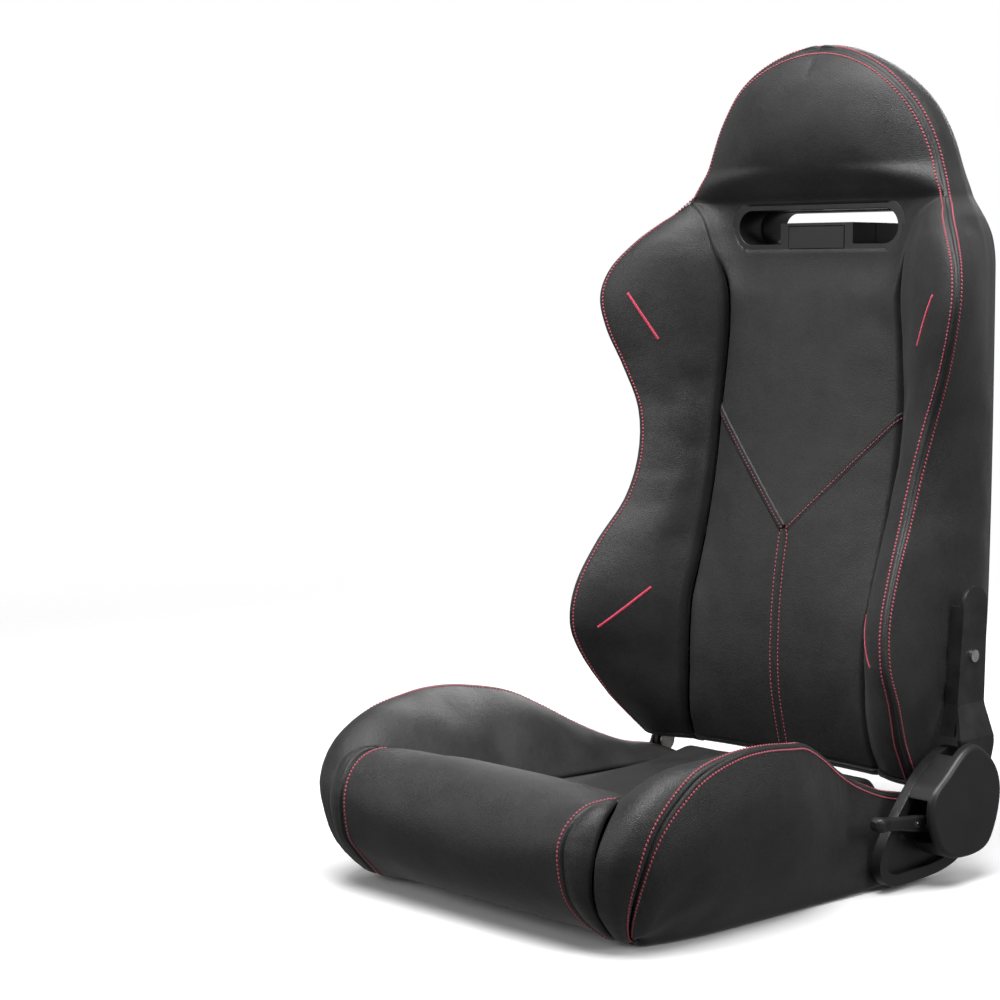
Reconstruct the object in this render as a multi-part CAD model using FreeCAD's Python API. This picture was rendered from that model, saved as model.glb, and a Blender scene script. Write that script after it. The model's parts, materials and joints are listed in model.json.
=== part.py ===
"""Reclining racing seat with a single-side recliner.

Millimetres. X is across the seat (+X is the recliner side, the sitter's left), +Y is to the rear and
+Z is up. The origin is the centre of the four slider bolt holes, on the underside of the seat rails.
"""
import FreeCAD, Part
import math
import os

V = FreeCAD.Vector
MID = V(0, 0, 0)
ACROSS = V(1, 0, 0)

# ---------------------------------------------------------------- driving dimensions
BOLT_SPACING_X, BOLT_SPACING_Y = 338.0, 280.0      # slider bolt pattern
BOLT_R = 4.0                                       # M8
RAIL_WIDTH, RAIL_HEIGHT, SHEET = 28.0, 30.0, 2.5   # pressed channel rails
RAIL_FRONT, RAIL_REAR = -176.0, 240.0
TUBE_R, TUBE_WALL = 12.0, 2.0                      # seat frame cross tubes
TUBE_Z = 15.0
FRONT_TUBE_Y, REAR_TUBE_Y = -163.0, 205.0
SPRING_R = 1.75                                    # zigzag spring wire
FOAM_BASE = 34.0                                   # underside of the foam over the frame

PIVOT_Y, PIVOT_Z = 272.0, 92.0                     # backrest pivot, axis along X
PIVOT_R, RUN = 8.0, 0.05                           # hinge pin and its running clearance
LEVER_Y, LEVER_Z, LEVER_R = 213.0, 70.0, 5.0       # recliner lever pivot
PAWL_ANGLE = 205.0                                 # where the pawl meets the sector, degrees from +Y
SECTOR_R, TOOTH_DEPTH, TOOTH_PITCH = 38.0, 2.2, 4.0
PAWL_ARM = 30.0                                    # pawl pivot to its teeth
PAWL_PIN_R = 4.0
DRIVE_PIN = (228.0, 64.0)                          # pin on the lever that works the pawl
GRIP_TIP, GRIP_ROOT = (109.0, 85.0), (197.0, 73.0)
GRIP_SIDES, GRIP_ROUND = 20, 0.6                   # sides and squareness of the grip's sections
GRIP_SECTIONS = ((-0.01, 3.4, (253.0, 260.5)), (0.015, 6.2, (250.4, 264.4)), (0.05, 8.0, (249.0, 266.4)),
                 (0.10, 8.5, (248.5, 266.6)), (0.16, 8.0, (248.5, 265.0)), (0.24, 7.5, (248.5, 263.2)),
                 (0.5, 7.6, (248.5, 262.0)), (0.8, 9.0, (248.5, 262.0)), (0.97, 9.6, (248.5, 262.0)))
SPACER_Y, SPACER_Z = 165.0, 16.0                   # bolt that ties the bracket to the rail
LEVER_SLOT = ((215, 222), (66, 100))               # slot behind the lever, in Y and Z
LEVER_NOTCH = ((170, 197), (52, 103))              # opening in the outer cover's wall
SCREW_R = 2.0
COVER_SCREWS = ((184.0, 58.0), (238.0, 100.0), (272.0, 44.0))
COVER_POSTS = ((208.0, 48.0), (212.0, 107.0))      # bosses between the two covers

# layers of the recliner, from the seat outwards
BRACKET_X = (230.0, 234.0)
INNER_COVER_X = (234.2, 236.0, 239.0, 247.0)       # skirt, plate inside, plate outside, rim
ARM_UPPER_X = (250.0, 255.0)
LEVER_X = (251.0, 255.0)
SECTOR_X = (256.0, 261.5)
ARM_LOWER_X = (262.0, 267.0)
OUTER_COVER_X = (247.3, 282.0)
PIVOT_ARM_X = (-211.0, -206.0)
PIVOT_BRACKET_X = (-216.0, -212.0)

HOOP_R = 11.0                                      # backrest hoop tube
HOOP_X = 195.0
LOWER_TUBE_Y, LOWER_TUBE_Z = 282.0, 205.0
UPPER_TUBE_Y, UPPER_TUBE_Z = 338.0, 676.0
BACK_SPRINGS_Z = (262.0, 350.0, 440.0, 530.0, 620.0)
SPRING_GAP = 1.8                                   # springs hang just in front of the hoop
ARM_BOLT_Y, ARM_BOLT_Z, ARM_BOLT_R = 287.0, 252.0, 4.0
ARM_TOP = 332.0

BEZEL_Z, BEZEL_Y = 739.0, 309.0                    # harness opening centre and face
BEZEL_HALF, BEZEL_RIM, BEZEL_WALL = 134.0, 12.0, 2.5
BEZEL_HEIGHT = 65.0
BEZEL_BLOCK_HALF, BEZEL_BLOCK_TOP = 56.0, 5.0      # raised block between the belt slots
BEZEL_REAR_Y = 397.0
BEZEL_SCREWS_X, BEZEL_SCREW_Z = (-44.0, 44.0), 713.0
CLEAR = 0.4                                        # gap between soft pieces
HEAD_BASE = 776.0
BACK_BASE = 109.0

# outlines of the recliner covers in Y and Z, each a closed smooth curve through its points
INNER_COVER_OUTLINE = ((134, 36), (141, 54), (159, 78), (183, 105), (209, 129), (235, 144), (264, 150),
                       (292, 137), (309, 112), (310, 82), (302, 48), (284, 24), (255, 12), (215, 7),
                       (178, 6), (152, 8), (138, 18))
OUTER_COVER_OUTLINE = ((183, 76), (181, 94), (186, 110), (204, 125), (222, 139), (240, 152), (260, 157),
                       (282, 146), (300, 128), (309, 104), (307, 80), (299, 57), (286, 39), (266, 32),
                       (240, 31), (216, 35), (197, 48))
# outlines of flat steel parts, in Y and Z
LEFT_BRACKET_OUTLINE = ((152, 9), (222, 10), (272, 22), (290, 60), (292, 92), (284, 112), (266, 118),
                        (240, 112), (200, 92), (172, 60), (152, 28))
RIGHT_BRACKET_OUTLINE = ((190, 3), (222, 3), (284, 74), (289, 96), (280, 109), (264, 109), (256, 98),
                         (246, 74), (190, 30))
ARM_BLADE_OUTLINE = ((268, 309), (259, 198), (250, 160), (252, 146), (246, 100), (298, 100), (312, 146),
                     (313, 152), (309, 192), (312, 309))
LEVER_OUTLINE = ((128, 77.5), (196, 68.5), (222, 62), (228, 58.5), (234, 64), (228, 69.5), (213, 79),
                 (196, 78.5), (128, 87.5))
ARM_JOGGLE = (198.0, 160.0)                        # heights where the arm bends in and out
ARM_CROWN = (290.0, 309.0, 22.0)                   # Y, Z and radius of its rounded top
ARM_EYE_R = 30.0
ARM_BOTTOM = 55.0

# cushion: outer seam against Y, then widths and outlines
CUSHION_SEAM = ((-242, 249, 98), (-222, 256, 138), (-190, 258, 170), (-118, 257, 194), (-28, 254, 193),
                (18, 237, 184), (68, 224, 159), (144, 209, 119), (190, 212, 98), (247, 212, 94))
CUSHION_INNER_X = ((-242, 187), (-200, 180), (-90, 154), (0, 147), (247, 147))
CUSHION_FLOOR_X = ((-242, 200), (-190, 218), (-136, 228), (200, 228), (247, 222))
CUSHION_STATIONS = (-240, -222, -190, -150, -118, -70, -28, 18, 68, 106, 144, 190, 247)
PAD_OUTLINE = ((-84, FOAM_BASE), (-84, 92), (0, 89), (180, 88), (250, 90), (262, 84), (263, 44),
               (256, FOAM_BASE))
PAD_HALF = 145.0
ROLL_BACK = -84.0
ROLL_OUTLINE = ((-130, 122), (-180, 147), (-215, 152), (-255, 143), (-279, 122), (-288, 98), (-284, 72),
                (-266, 42), (-240, 20), (-200, 3), (-178, 3), (-178, FOAM_BASE))
ROLL_ENDS = ((187, -242), (180, -200), (153, -90), (150, -80))    # half width against Y

# curves of the backrest against height: (Z, value)
SEAM_X = ((109, 212), (160, 231), (210, 246), (250, 248), (299, 243), (352, 233), (447, 218), (516, 228),
          (568, 249), (645, 276), (686, 269), (744, 225), (771, 197), (822, 174), (870, 150), (908, 118),
          (934, 61), (950, 12))
SEAM_Y = ((109, 237), (160, 190), (210, 157), (250, 139), (299, 143), (352, 170), (412, 210), (487, 236),
          (541, 238), (645, 219), (686, 228), (744, 270), (771, 300), (822, 311), (908, 300), (950, 318))
CREASE_X = ((109, 146), (235, 140), (454, 142), (600, 136), (690, 138), (771, 152))
CREASE_Y = ((109, 253), (193, 240), (235, 236), (276, 240), (368, 268), (454, 288), (600, 300), (690, 297),
            (771, 292))
LEG_Y = ((109, 276), (262, 288), (400, 318), (620, 338), (771, 342), (950, 345))
REAR_Y = ((109, 370), (200, 382), (320, 388), (700, 390), (800, 393), (870, 388), (915, 372), (950, 345))
REAR_X = ((109, 187), (300, 200), (690, 202), (744, 186), (800, 158), (870, 128), (915, 92), (950, 10))
HEAD_Y = ((776, 296), (820, 282), (870, 276), (915, 284), (950, 312))

PARTS = {}


# ---------------------------------------------------------------- helpers
def along(keys, t):
    """Smooth curve through (t, value) keys."""
    keys = [(float(a), float(b)) for a, b in keys]
    t = min(max(t, keys[0][0]), keys[-1][0])
    last = len(keys) - 1
    i = max(k for k in range(last) if keys[k][0] <= t)

    def slope(k):
        a, b = keys[max(k - 1, 0)], keys[min(k + 1, last)]
        return (b[1] - a[1]) / (b[0] - a[0])
    (t0, v0), (t1, v1) = keys[i], keys[i + 1]
    span = t1 - t0
    s = (t - t0) / span
    start = (2 * s**3 - 3 * s**2 + 1) * v0 + (s**3 - 2 * s**2 + s) * span * slope(i)
    end = (3 * s**2 - 2 * s**3) * v1 + (s**3 - s**2) * span * slope(i + 1)
    return start + end


def box(x, y, z):
    """Box between pairs of limits."""
    return Part.makeBox(x[1] - x[0], y[1] - y[0], z[1] - z[0], V(x[0], y[0], z[0]))


def rod(x, y, z, r):
    """Cylinder along X between the limits x."""
    return Part.makeCylinder(r, x[1] - x[0], V(x[0], y, z), ACROSS)


def ring(x, y, z, outer, inner):
    return rod(x, y, z, outer).cut(rod(x, y, z, inner))


def hexagon(x, y, z, flats):
    """Hexagonal bar along X."""
    r = flats / math.sqrt(3)
    turns = [math.radians(60 * i) for i in range(6)]
    return slab([(y + r * math.cos(a), z + r * math.sin(a)) for a in turns], x)


def slab(points, x):
    """Outline in Y and Z, thick along X between the limits."""
    wire = Part.makePolygon([V(x[0], y, z) for y, z in points] + [V(x[0], *points[0])])
    return Part.Face(wire).extrude(V(x[1] - x[0], 0, 0))


def profile(points, y):
    """Outline in X and Z, long along Y between the limits."""
    wire = Part.makePolygon([V(a, y[0], b) for a, b in points] + [V(points[0][0], y[0], points[0][1])])
    return Part.Face(wire).extrude(V(0, y[1] - y[0], 0))


def loft(rings):
    """Solid through closed rings of points."""
    wires = [Part.makePolygon(r + [r[0]]) for r in rings]
    return Part.makeLoft(wires, True, True)


def union(shapes):
    return shapes[0].multiFuse(list(shapes[1:])).removeSplitter()


def mirrored(shape):
    return shape.mirror(MID, ACROSS)


def bent_wire(points, bend):
    """Path of straight runs joined by tangent arcs of one radius."""
    edges = []
    start = points[0]
    for before, corner, after in zip(points, points[1:], points[2:]):
        to_before = (before - corner).normalize()
        to_after = (after - corner).normalize()
        half = to_before.getAngle(to_after) / 2
        middle = (to_before + to_after).normalize()
        cut = bend / math.tan(half)
        centre = corner + middle * (bend / math.sin(half))
        first, second = corner + to_before * cut, corner + to_after * cut
        edges.append(Part.LineSegment(start, first).toShape())
        edges.append(Part.Arc(first, centre - middle * bend, second).toShape())
        start = second
    edges.append(Part.LineSegment(start, points[-1]).toShape())
    return Part.Wire(edges)


def pipe(points, bend, radius):
    """Round bar along a bent path."""
    path = bent_wire(points, bend)
    circle = Part.Circle(points[0], points[1] - points[0], radius).toShape()
    return path.makePipeShell([Part.Wire([circle])], True, False)


def zigzag(start, run, side, turns, pitch, swing, bend):
    """Flat zigzag spring wire: turns across its run."""
    points = [start]
    for i in range(turns):
        reach = swing if i % 2 == 0 else -swing
        points.append(start + run * (pitch * (i + 0.5)) + side * reach)
        points.append(start + run * (pitch * (i + 1.5)) + side * reach)
    points.append(start + run * (pitch * (turns + 1)))
    return pipe(points, bend, SPRING_R)


def keep(name, shape):
    PARTS[name] = shape


# ---------------------------------------------------------------- seat frame
def seat_frame():
    """Two channel rails, two cross tubes, four springs and the slider weld nuts."""
    centre = BOLT_SPACING_X / 2
    x = (centre - RAIL_WIDTH / 2, centre + RAIL_WIDTH / 2)
    span = (RAIL_FRONT, RAIL_REAR)
    rail = box(x, span, (0, RAIL_HEIGHT))
    hollow = box((x[0] - 1, x[1] - SHEET), (span[0] - 1, span[1] + 1), (SHEET, RAIL_HEIGHT - SHEET))
    rail = rail.cut(hollow)
    half = BOLT_SPACING_Y / 2
    for y in (-half, half):
        rail = rail.cut(Part.makeCylinder(BOLT_R, SHEET * 2, V(centre, y, -SHEET / 2)))
    rail = rail.cut(rod((0, x[1] + 1), REAR_TUBE_Y, TUBE_Z, TUBE_R))
    keep("seat_rail_left", rail)
    keep("seat_rail_right", mirrored(rail))

    inside = x[1] - SHEET
    front = ring((-inside, inside), FRONT_TUBE_Y, TUBE_Z, TUBE_R, TUBE_R - TUBE_WALL)
    keep("seat_front_tube", front)
    ends = (PIVOT_BRACKET_X[1], BRACKET_X[0])
    keep("seat_rear_tube", ring(ends, REAR_TUBE_Y, TUBE_Z, TUBE_R, TUBE_R - TUBE_WALL))

    nut_height, nut_r = 6.5, 7.5
    nuts = []
    for side in (-centre, centre):
        for y in (-half, half):
            nut = Part.makeCylinder(nut_r, nut_height, V(side, y, SHEET))
            nuts.append(nut.cut(Part.makeCylinder(BOLT_R, nut_height, V(side, y, SHEET))))
    keep("slider_weld_nuts", Part.makeCompound(nuts))

    spring_z = TUBE_Z + TUBE_R + SPRING_R
    turns, swing, bend = 12, 20.0, 8.0
    pitch = (REAR_TUBE_Y - FRONT_TUBE_Y) / (turns + 1)
    places = (-105.0, -35.0, 35.0, 105.0)
    springs = [zigzag(V(p, FRONT_TUBE_Y, spring_z), V(0, 1, 0), V(1, 0, 0), turns, pitch, swing, bend)
               for p in places]
    keep("seat_springs", Part.makeCompound(springs))


# ---------------------------------------------------------------- cushion foam
def cushion_bolster():
    """Side bolster: sections across the seat at stations along Y."""
    seam_x = [(y, x) for y, x, z in CUSHION_SEAM]
    seam_z = [(y, z) for y, x, z in CUSHION_SEAM]
    level = 89.0
    rail_side = 200 - CLEAR
    rings = []
    for y in CUSHION_STATIONS:
        sx, sz = along(seam_x, y), along(seam_z, y)
        ix, fx = along(CUSHION_INNER_X, y), along(CUSHION_FLOOR_X, y)
        low = 2.0 + max(0.0, -200.0 - y) * 0.9
        valley = level + max(0.0, -90.0 - y) * 0.38
        shelf = max(FOAM_BASE, low + 6)
        rise = sz - min(valley, sz - 2)
        flank = (ix + (sx - ix) * 0.55, sz - rise * 0.30)
        points = [(ix, shelf), (ix, min(valley, sz - 2)), flank, (sx - 8, sz + 2), (sx, sz - 6),
                  (max(sx, fx) + 1, (sz + low) * 0.5), (fx, low), (rail_side, low), (rail_side, shelf)]
        rings.append([V(a, y, b) for a, b in points])
    return loft(rings)


def cushion_foam():
    """Seat pad, thigh roll and the two side bolsters."""
    bolster = cushion_bolster()
    tube_room = box((190, 232), (REAR_TUBE_Y - 14, REAR_TUBE_Y + 14), (0, FOAM_BASE))
    spacer_room = box((190, 232), (SPACER_Y - 10, SPACER_Y + 10), (0, FOAM_BASE))
    left = bolster.cut(tube_room).cut(spacer_room)
    keep("cushion_bolster_left", left)
    slot = box((-PIVOT_BRACKET_X[1] - 1, -PIVOT_BRACKET_X[0] + 1), (REAR_TUBE_Y - 16, 260), (0, 110))
    keep("cushion_bolster_right", mirrored(bolster.cut(tube_room).cut(slot)))

    keep("cushion_center_pad", slab(list(PAD_OUTLINE), (-PAD_HALF, PAD_HALF)))

    back = ROLL_BACK - CLEAR
    body = slab([(back, FOAM_BASE), (back, 93), *ROLL_OUTLINE], (-190, 190))
    left = [(ROLL_ENDS[0][0], -300)] + [(x - CLEAR, y) for x, y in ROLL_ENDS]
    ends = left + [(-x, y) for x, y in reversed(left)]
    plan = Part.Face(Part.makePolygon([V(x, y, 0) for x, y in ends + ends[:1]])).extrude(V(0, 0, 200))
    keep("cushion_front_roll", body.common(plan))


# ---------------------------------------------------------------- recliner
def polar(radius, degrees):
    """Point at a radius and angle about the backrest pivot, as (Y, Z)."""
    a = math.radians(degrees)
    return (PIVOT_Y + radius * math.cos(a), PIVOT_Z + radius * math.sin(a))


def pawl_pivot():
    contact = polar(SECTOR_R, PAWL_ANGLE)
    a = math.radians(PAWL_ANGLE)
    return (contact[0] - math.sin(a) * PAWL_ARM, contact[1] + math.cos(a) * PAWL_ARM)


def brackets():
    """Steel plates that carry the pivots, on the ends of the rear cross tube."""
    left = slab(LEFT_BRACKET_OUTLINE, BRACKET_X)
    left = left.cut(rod((BRACKET_X[0] - 1, BRACKET_X[1] + 1), SPACER_Y, SPACER_Z, BOLT_R))
    keep("recliner_bracket_left", left)
    keep("pivot_bracket_right", slab(RIGHT_BRACKET_OUTLINE, PIVOT_BRACKET_X))

    rail_side = BOLT_SPACING_X / 2 + RAIL_WIDTH / 2
    rail_bolt_x = (rail_side - SHEET, BRACKET_X[1])
    keep("bracket_spacer", ring((rail_side, BRACKET_X[0]), SPACER_Y, SPACER_Z, 8.0, BOLT_R + 0.3))
    hole = rod((rail_bolt_x[0] - 1, rail_side + 1), SPACER_Y, SPACER_Z, BOLT_R)
    PARTS["seat_rail_left"] = PARTS["seat_rail_left"].cut(hole)
    shank = rod((rail_bolt_x[0] - 8, BRACKET_X[1]), SPACER_Y, SPACER_Z, BOLT_R)
    head = hexagon((BRACKET_X[1], BRACKET_X[1] + 1.8), SPACER_Y, SPACER_Z, 12.0)
    nut = hexagon((rail_bolt_x[0] - 6.5, rail_bolt_x[0]), SPACER_Y, SPACER_Z, 13.0)
    keep("bracket_bolt", union([shank, head, nut]))


def hinge_pins():
    head, head_r = 3.7, 12.0
    gap = 0.3
    outer = ARM_LOWER_X[1] + gap
    pin = union([rod((BRACKET_X[1], outer), PIVOT_Y, PIVOT_Z, PIVOT_R),
                 rod((outer, outer + head), PIVOT_Y, PIVOT_Z, head_r)])
    keep("hinge_pin_left", pin)
    inner = PIVOT_ARM_X[1] + gap
    pin = union([rod((PIVOT_BRACKET_X[1], inner), PIVOT_Y, PIVOT_Z, PIVOT_R),
                 rod((inner, inner + head), PIVOT_Y, PIVOT_Z, head_r)])
    keep("hinge_pin_right", pin)
    y, z = pawl_pivot()
    keep("pawl_pin", union([rod((BRACKET_X[1], SECTOR_X[1] + gap), y, z, PAWL_PIN_R),
                            rod((SECTOR_X[1] + gap, SECTOR_X[1] + 2), y, z, PAWL_PIN_R + 2)]))
    keep("lever_pin", union([rod((BRACKET_X[1], LEVER_X[1] + gap), LEVER_Y, LEVER_Z, LEVER_R),
                             rod((LEVER_X[1] + gap, SECTOR_X[0] - 0.1), LEVER_Y, LEVER_Z, LEVER_R + 3)]))


def curved_face(points, x):
    """Face in Y and Z inside a closed smooth curve."""
    curve = Part.BSplineCurve()
    curve.interpolate(Points=[V(x, y, z) for y, z in points], PeriodicFlag=True)
    return Part.Face(Part.Wire([curve.toShape()]))


def inset(points, gap):
    """Closed outline, listed clockwise, moved inwards by gap."""
    moved = []
    for i, (y, z) in enumerate(points):
        before, after = points[i - 1], points[(i + 1) % len(points)]
        dy, dz = after[0] - before[0], after[1] - before[1]
        size = math.hypot(dy, dz)
        moved.append((y + gap * dz / size, z - gap * dy / size))
    return moved


def inner_cover():
    """Moulded cover behind the lever: a plate with a raised rim and a skirt."""
    skirt_x, plate_in, plate_out, rim_x = INNER_COVER_X

    def layer(gap, low, high):
        return curved_face(inset(INNER_COVER_OUTLINE, gap), low).extrude(V(high - low, 0, 0))
    skin, band = 2.5, 13.0
    cover = layer(0, skirt_x, rim_x).cut(layer(skin, skirt_x - 1, plate_in))
    cover = cover.cut(layer(band, plate_out, rim_x + 1))
    through = (skirt_x, rim_x + 1)
    holes = [rod(through, PIVOT_Y, PIVOT_Z, PIVOT_R + 1.5), rod(through, *pawl_pivot(), PAWL_PIN_R + 1),
             rod(through, LEVER_Y, LEVER_Z, LEVER_R + 1), box(through, *LEVER_SLOT)]
    for y, z in COVER_SCREWS:
        holes.append(rod(through, y, z, SCREW_R))
    for hole in holes:
        cover = cover.cut(hole)
    keep("recliner_inner_cover", cover)


def outer_cover():
    """D-shaped cover over the sector and pawl, open at the rear and top for the arm."""
    inner, outer = OUTER_COVER_X
    deep = outer - inner
    rim_radius, skin, wall = 6.0, 2.5, 9.0
    face = curved_face(OUTER_COVER_OUTLINE, inner)
    outside = face.extrude(V(deep, 0, 0))
    rim = [e for e in outside.Edges if e.BoundBox.XMin > outer - 0.01]
    outside = outside.makeFillet(rim_radius, rim)
    small = curved_face(inset(OUTER_COVER_OUTLINE, skin), inner - 1)
    cover = outside.cut(small.extrude(V(deep - skin + 1, 0, 0)))
    reach, first, last, step = 90.0, -40, 127, 16.7
    turns = [first + step * i for i in range(int((last - first) / step) + 1)]
    wedge = [(PIVOT_Y, PIVOT_Z)] + [polar(reach, a) for a in turns]
    cover = cover.cut(slab(wedge, (inner - 1, ARM_LOWER_X[1] + 2.5)))
    cover = cover.cut(box((inner - 1, outer - wall), *LEVER_NOTCH))
    post_x = (INNER_COVER_X[2], OUTER_COVER_X[1] - skin)
    posts = []
    for y, z in COVER_POSTS:
        post = rod(post_x, y, z, 4.0).cut(rod((post_x[0] - 1, post_x[0] + 10), y, z, SCREW_R))
        posts.append(post)
    keep("recliner_outer_cover", union([cover] + posts))
    screws = []
    for y, z in COVER_POSTS:
        screws.append(union([rod((INNER_COVER_X[1] - 2, INNER_COVER_X[1]), y, z, 3.5),
                             rod((INNER_COVER_X[1], post_x[0] + 9), y, z, SCREW_R)]))
        hole = rod((INNER_COVER_X[1] - 1, INNER_COVER_X[2] + 1), y, z, SCREW_R)
        PARTS["recliner_inner_cover"] = PARTS["recliner_inner_cover"].cut(hole)
        wide = rod((BRACKET_X[0] - 1, BRACKET_X[1] + 1), y, z, 4.5)
        PARTS["recliner_bracket_left"] = PARTS["recliner_bracket_left"].cut(wide)
    for y, z in COVER_SCREWS:
        screws.append(union([rod((BRACKET_X[1], INNER_COVER_X[2]), y, z, SCREW_R),
                             rod((INNER_COVER_X[2], INNER_COVER_X[2] + 2), y, z, 3.5)]))
    keep("cover_screws", Part.makeCompound(screws))


def arm_left():
    """Joggled arm with a front flange, its sector gear, rivets, bolt and spacer."""
    lower, upper = ARM_LOWER_X, ARM_UPPER_X
    joggle_top, joggle_low = ARM_JOGGLE
    section = profile([(upper[0], ARM_TOP), (upper[1], ARM_TOP), (upper[1], joggle_top),
                       (lower[1], joggle_low), (lower[1], ARM_BOTTOM), (lower[0], ARM_BOTTOM),
                       (lower[0], joggle_low + 1), (upper[0], joggle_top + 1)], (200, 350))
    through = (240, 270)
    crown = rod(through, *ARM_CROWN)
    blade = slab(ARM_BLADE_OUTLINE, through)
    eye = rod(through, PIVOT_Y, PIVOT_Z, ARM_EYE_R)
    arm = section.common(union([crown, blade, eye]))
    flange_x = (237.0, upper[0])
    flange = union([slab([(259, 198), (263, 198), (272, 309), (268, 309)], flange_x),
                    slab([(250.5, 163), (255, 163), (263, 198), (259, 198)], (flange_x[0], upper[1] + 1))])
    arm = union([arm, flange])
    arm = arm.cut(rod(through, PIVOT_Y, PIVOT_Z, PIVOT_R + RUN))
    arm = arm.cut(rod(through, ARM_BOLT_Y, ARM_BOLT_Z, ARM_BOLT_R))
    keep("recliner_arm_left", arm)

    hoop_side = HOOP_X + HOOP_R
    spacer = ring((hoop_side, upper[0]), ARM_BOLT_Y, ARM_BOLT_Z, 8.0, ARM_BOLT_R + 0.3)
    keep("arm_spacer", spacer.cut(hoop_path_pipe(HOOP_R)))
    bolt = union([rod((hoop_side - 6, upper[1]), ARM_BOLT_Y, ARM_BOLT_Z, ARM_BOLT_R),
                  rod((upper[1], upper[1] + 3), ARM_BOLT_Y, ARM_BOLT_Z, 7.0)])
    keep("arm_bolt", bolt)


def sector_gear():
    """Toothed plate riveted to the arm, turning about the hinge pin."""
    first, last = PAWL_ANGLE - 28.0, PAWL_ANGLE + 80.0
    points = []
    count = int((last - first) / TOOTH_PITCH)
    for i in range(count):
        a = first + i * TOOTH_PITCH
        points.append(polar(SECTOR_R - TOOTH_DEPTH, a))
        points.append(polar(SECTOR_R, a + TOOTH_PITCH * 0.3))
        points.append(polar(SECTOR_R, a + TOOTH_PITCH * 0.55))
        points.append(polar(SECTOR_R - TOOTH_DEPTH, a + TOOTH_PITCH * 0.85))
    back = [polar(27.0, last + 30 * i) for i in range(1, 8)]
    gear = slab(points + back, SECTOR_X)
    gear = gear.cut(rod((SECTOR_X[0] - 1, SECTOR_X[1] + 1), PIVOT_Y, PIVOT_Z, PIVOT_R + RUN))
    rivets = []
    for angle in (60.0, 180.0, 300.0):
        y, z = polar(19.0, angle)
        gear = gear.cut(rod((SECTOR_X[0] - 1, SECTOR_X[1] + 1), y, z, 3.0))
        hole = rod((ARM_LOWER_X[0] - 1, ARM_LOWER_X[1] + 1), y, z, 3.0)
        PARTS["recliner_arm_left"] = PARTS["recliner_arm_left"].cut(hole)
        rivets.append(union([rod((SECTOR_X[0], ARM_LOWER_X[1]), y, z, 3.0),
                             rod((ARM_LOWER_X[1], ARM_LOWER_X[1] + 1.5), y, z, 4.5)]))
    washer = ring((SECTOR_X[1], ARM_LOWER_X[0]), PIVOT_Y, PIVOT_Z, 16.0, PIVOT_R + RUN)
    keep("sector_gear", union([gear, washer]))
    keep("sector_rivets", Part.makeCompound(rivets))


def locking_pawl():
    """Toothed pawl, drawn just clear of the sector's tooth tips."""
    tip, root = SECTOR_R + 0.4, SECTOR_R + 0.4 + TOOTH_DEPTH
    points = []
    for i in range(-2, 3):
        a = PAWL_ANGLE + i * TOOTH_PITCH
        points.append(polar(root, a - TOOTH_PITCH * 0.42))
        points.append(polar(tip, a - TOOTH_PITCH * 0.12))
        points.append(polar(tip, a + TOOTH_PITCH * 0.12))
        points.append(polar(root, a + TOOTH_PITCH * 0.42))
    y, z = pawl_pivot()
    points += [polar(42.0, PAWL_ANGLE + 22), (y, z), polar(60.0, PAWL_ANGLE + 33),
               polar(62.0, PAWL_ANGLE + 17), polar(60.0, PAWL_ANGLE - 3), polar(50.0, PAWL_ANGLE - 10)]
    pawl = union([slab(points, SECTOR_X), rod(SECTOR_X, y, z, 7.5)])
    pawl = pawl.cut(rod((SECTOR_X[0] - 1, SECTOR_X[1] + 1), y, z, PAWL_PIN_R + RUN))
    drive_y, drive_z = DRIVE_PIN
    slot = box((SECTOR_X[0] - 1, SECTOR_X[1] + 1), (drive_y - 4.0, drive_y + 4.0),
               (drive_z - 5.0, drive_z + 3.6))
    keep("locking_pawl", pawl.cut(slot))


def lever():
    """Steel lever with a moulded grip held by one screw."""
    strap = slab(LEVER_OUTLINE, LEVER_X)
    strap = union([strap, rod(LEVER_X, LEVER_Y, LEVER_Z, 9.5), rod(LEVER_X, *DRIVE_PIN, 5.5)])
    strap = strap.cut(rod((LEVER_X[0] - 1, LEVER_X[1] + 1), LEVER_Y, LEVER_Z, LEVER_R + RUN))
    drive = rod((LEVER_X[1], SECTOR_X[1]), *DRIVE_PIN, 2.5)
    strap = union([strap, drive])

    def grip_ring(s, half_height, x):
        y = GRIP_TIP[0] + (GRIP_ROOT[0] - GRIP_TIP[0]) * s
        z = GRIP_TIP[1] + (GRIP_ROOT[1] - GRIP_TIP[1]) * s
        middle, half_width = (x[0] + x[1]) / 2, (x[1] - x[0]) / 2
        ring_points = []
        for i in range(GRIP_SIDES):
            a = 2 * math.pi * (i + 0.5) / GRIP_SIDES
            across, up = math.cos(a), math.sin(a)
            ring_points.append(V(middle + half_width * math.copysign(abs(across) ** GRIP_ROUND, across), y,
                                 z + half_height * math.copysign(abs(up) ** GRIP_ROUND, up)))
        return ring_points
    grip = loft([grip_ring(*section) for section in GRIP_SECTIONS])
    screw_y, screw_z = 181.0, 75.0
    through = (248, 263)
    keep("lever_grip", grip.cut(strap).cut(rod(through, screw_y, screw_z, SCREW_R)))
    keep("recliner_lever", strap.cut(rod(through, screw_y, screw_z, SCREW_R)))
    keep("lever_screw", union([rod((LEVER_X[0], 262), screw_y, screw_z, SCREW_R),
                               rod((262, 263.5), screw_y, screw_z, 3.6)]))


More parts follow.
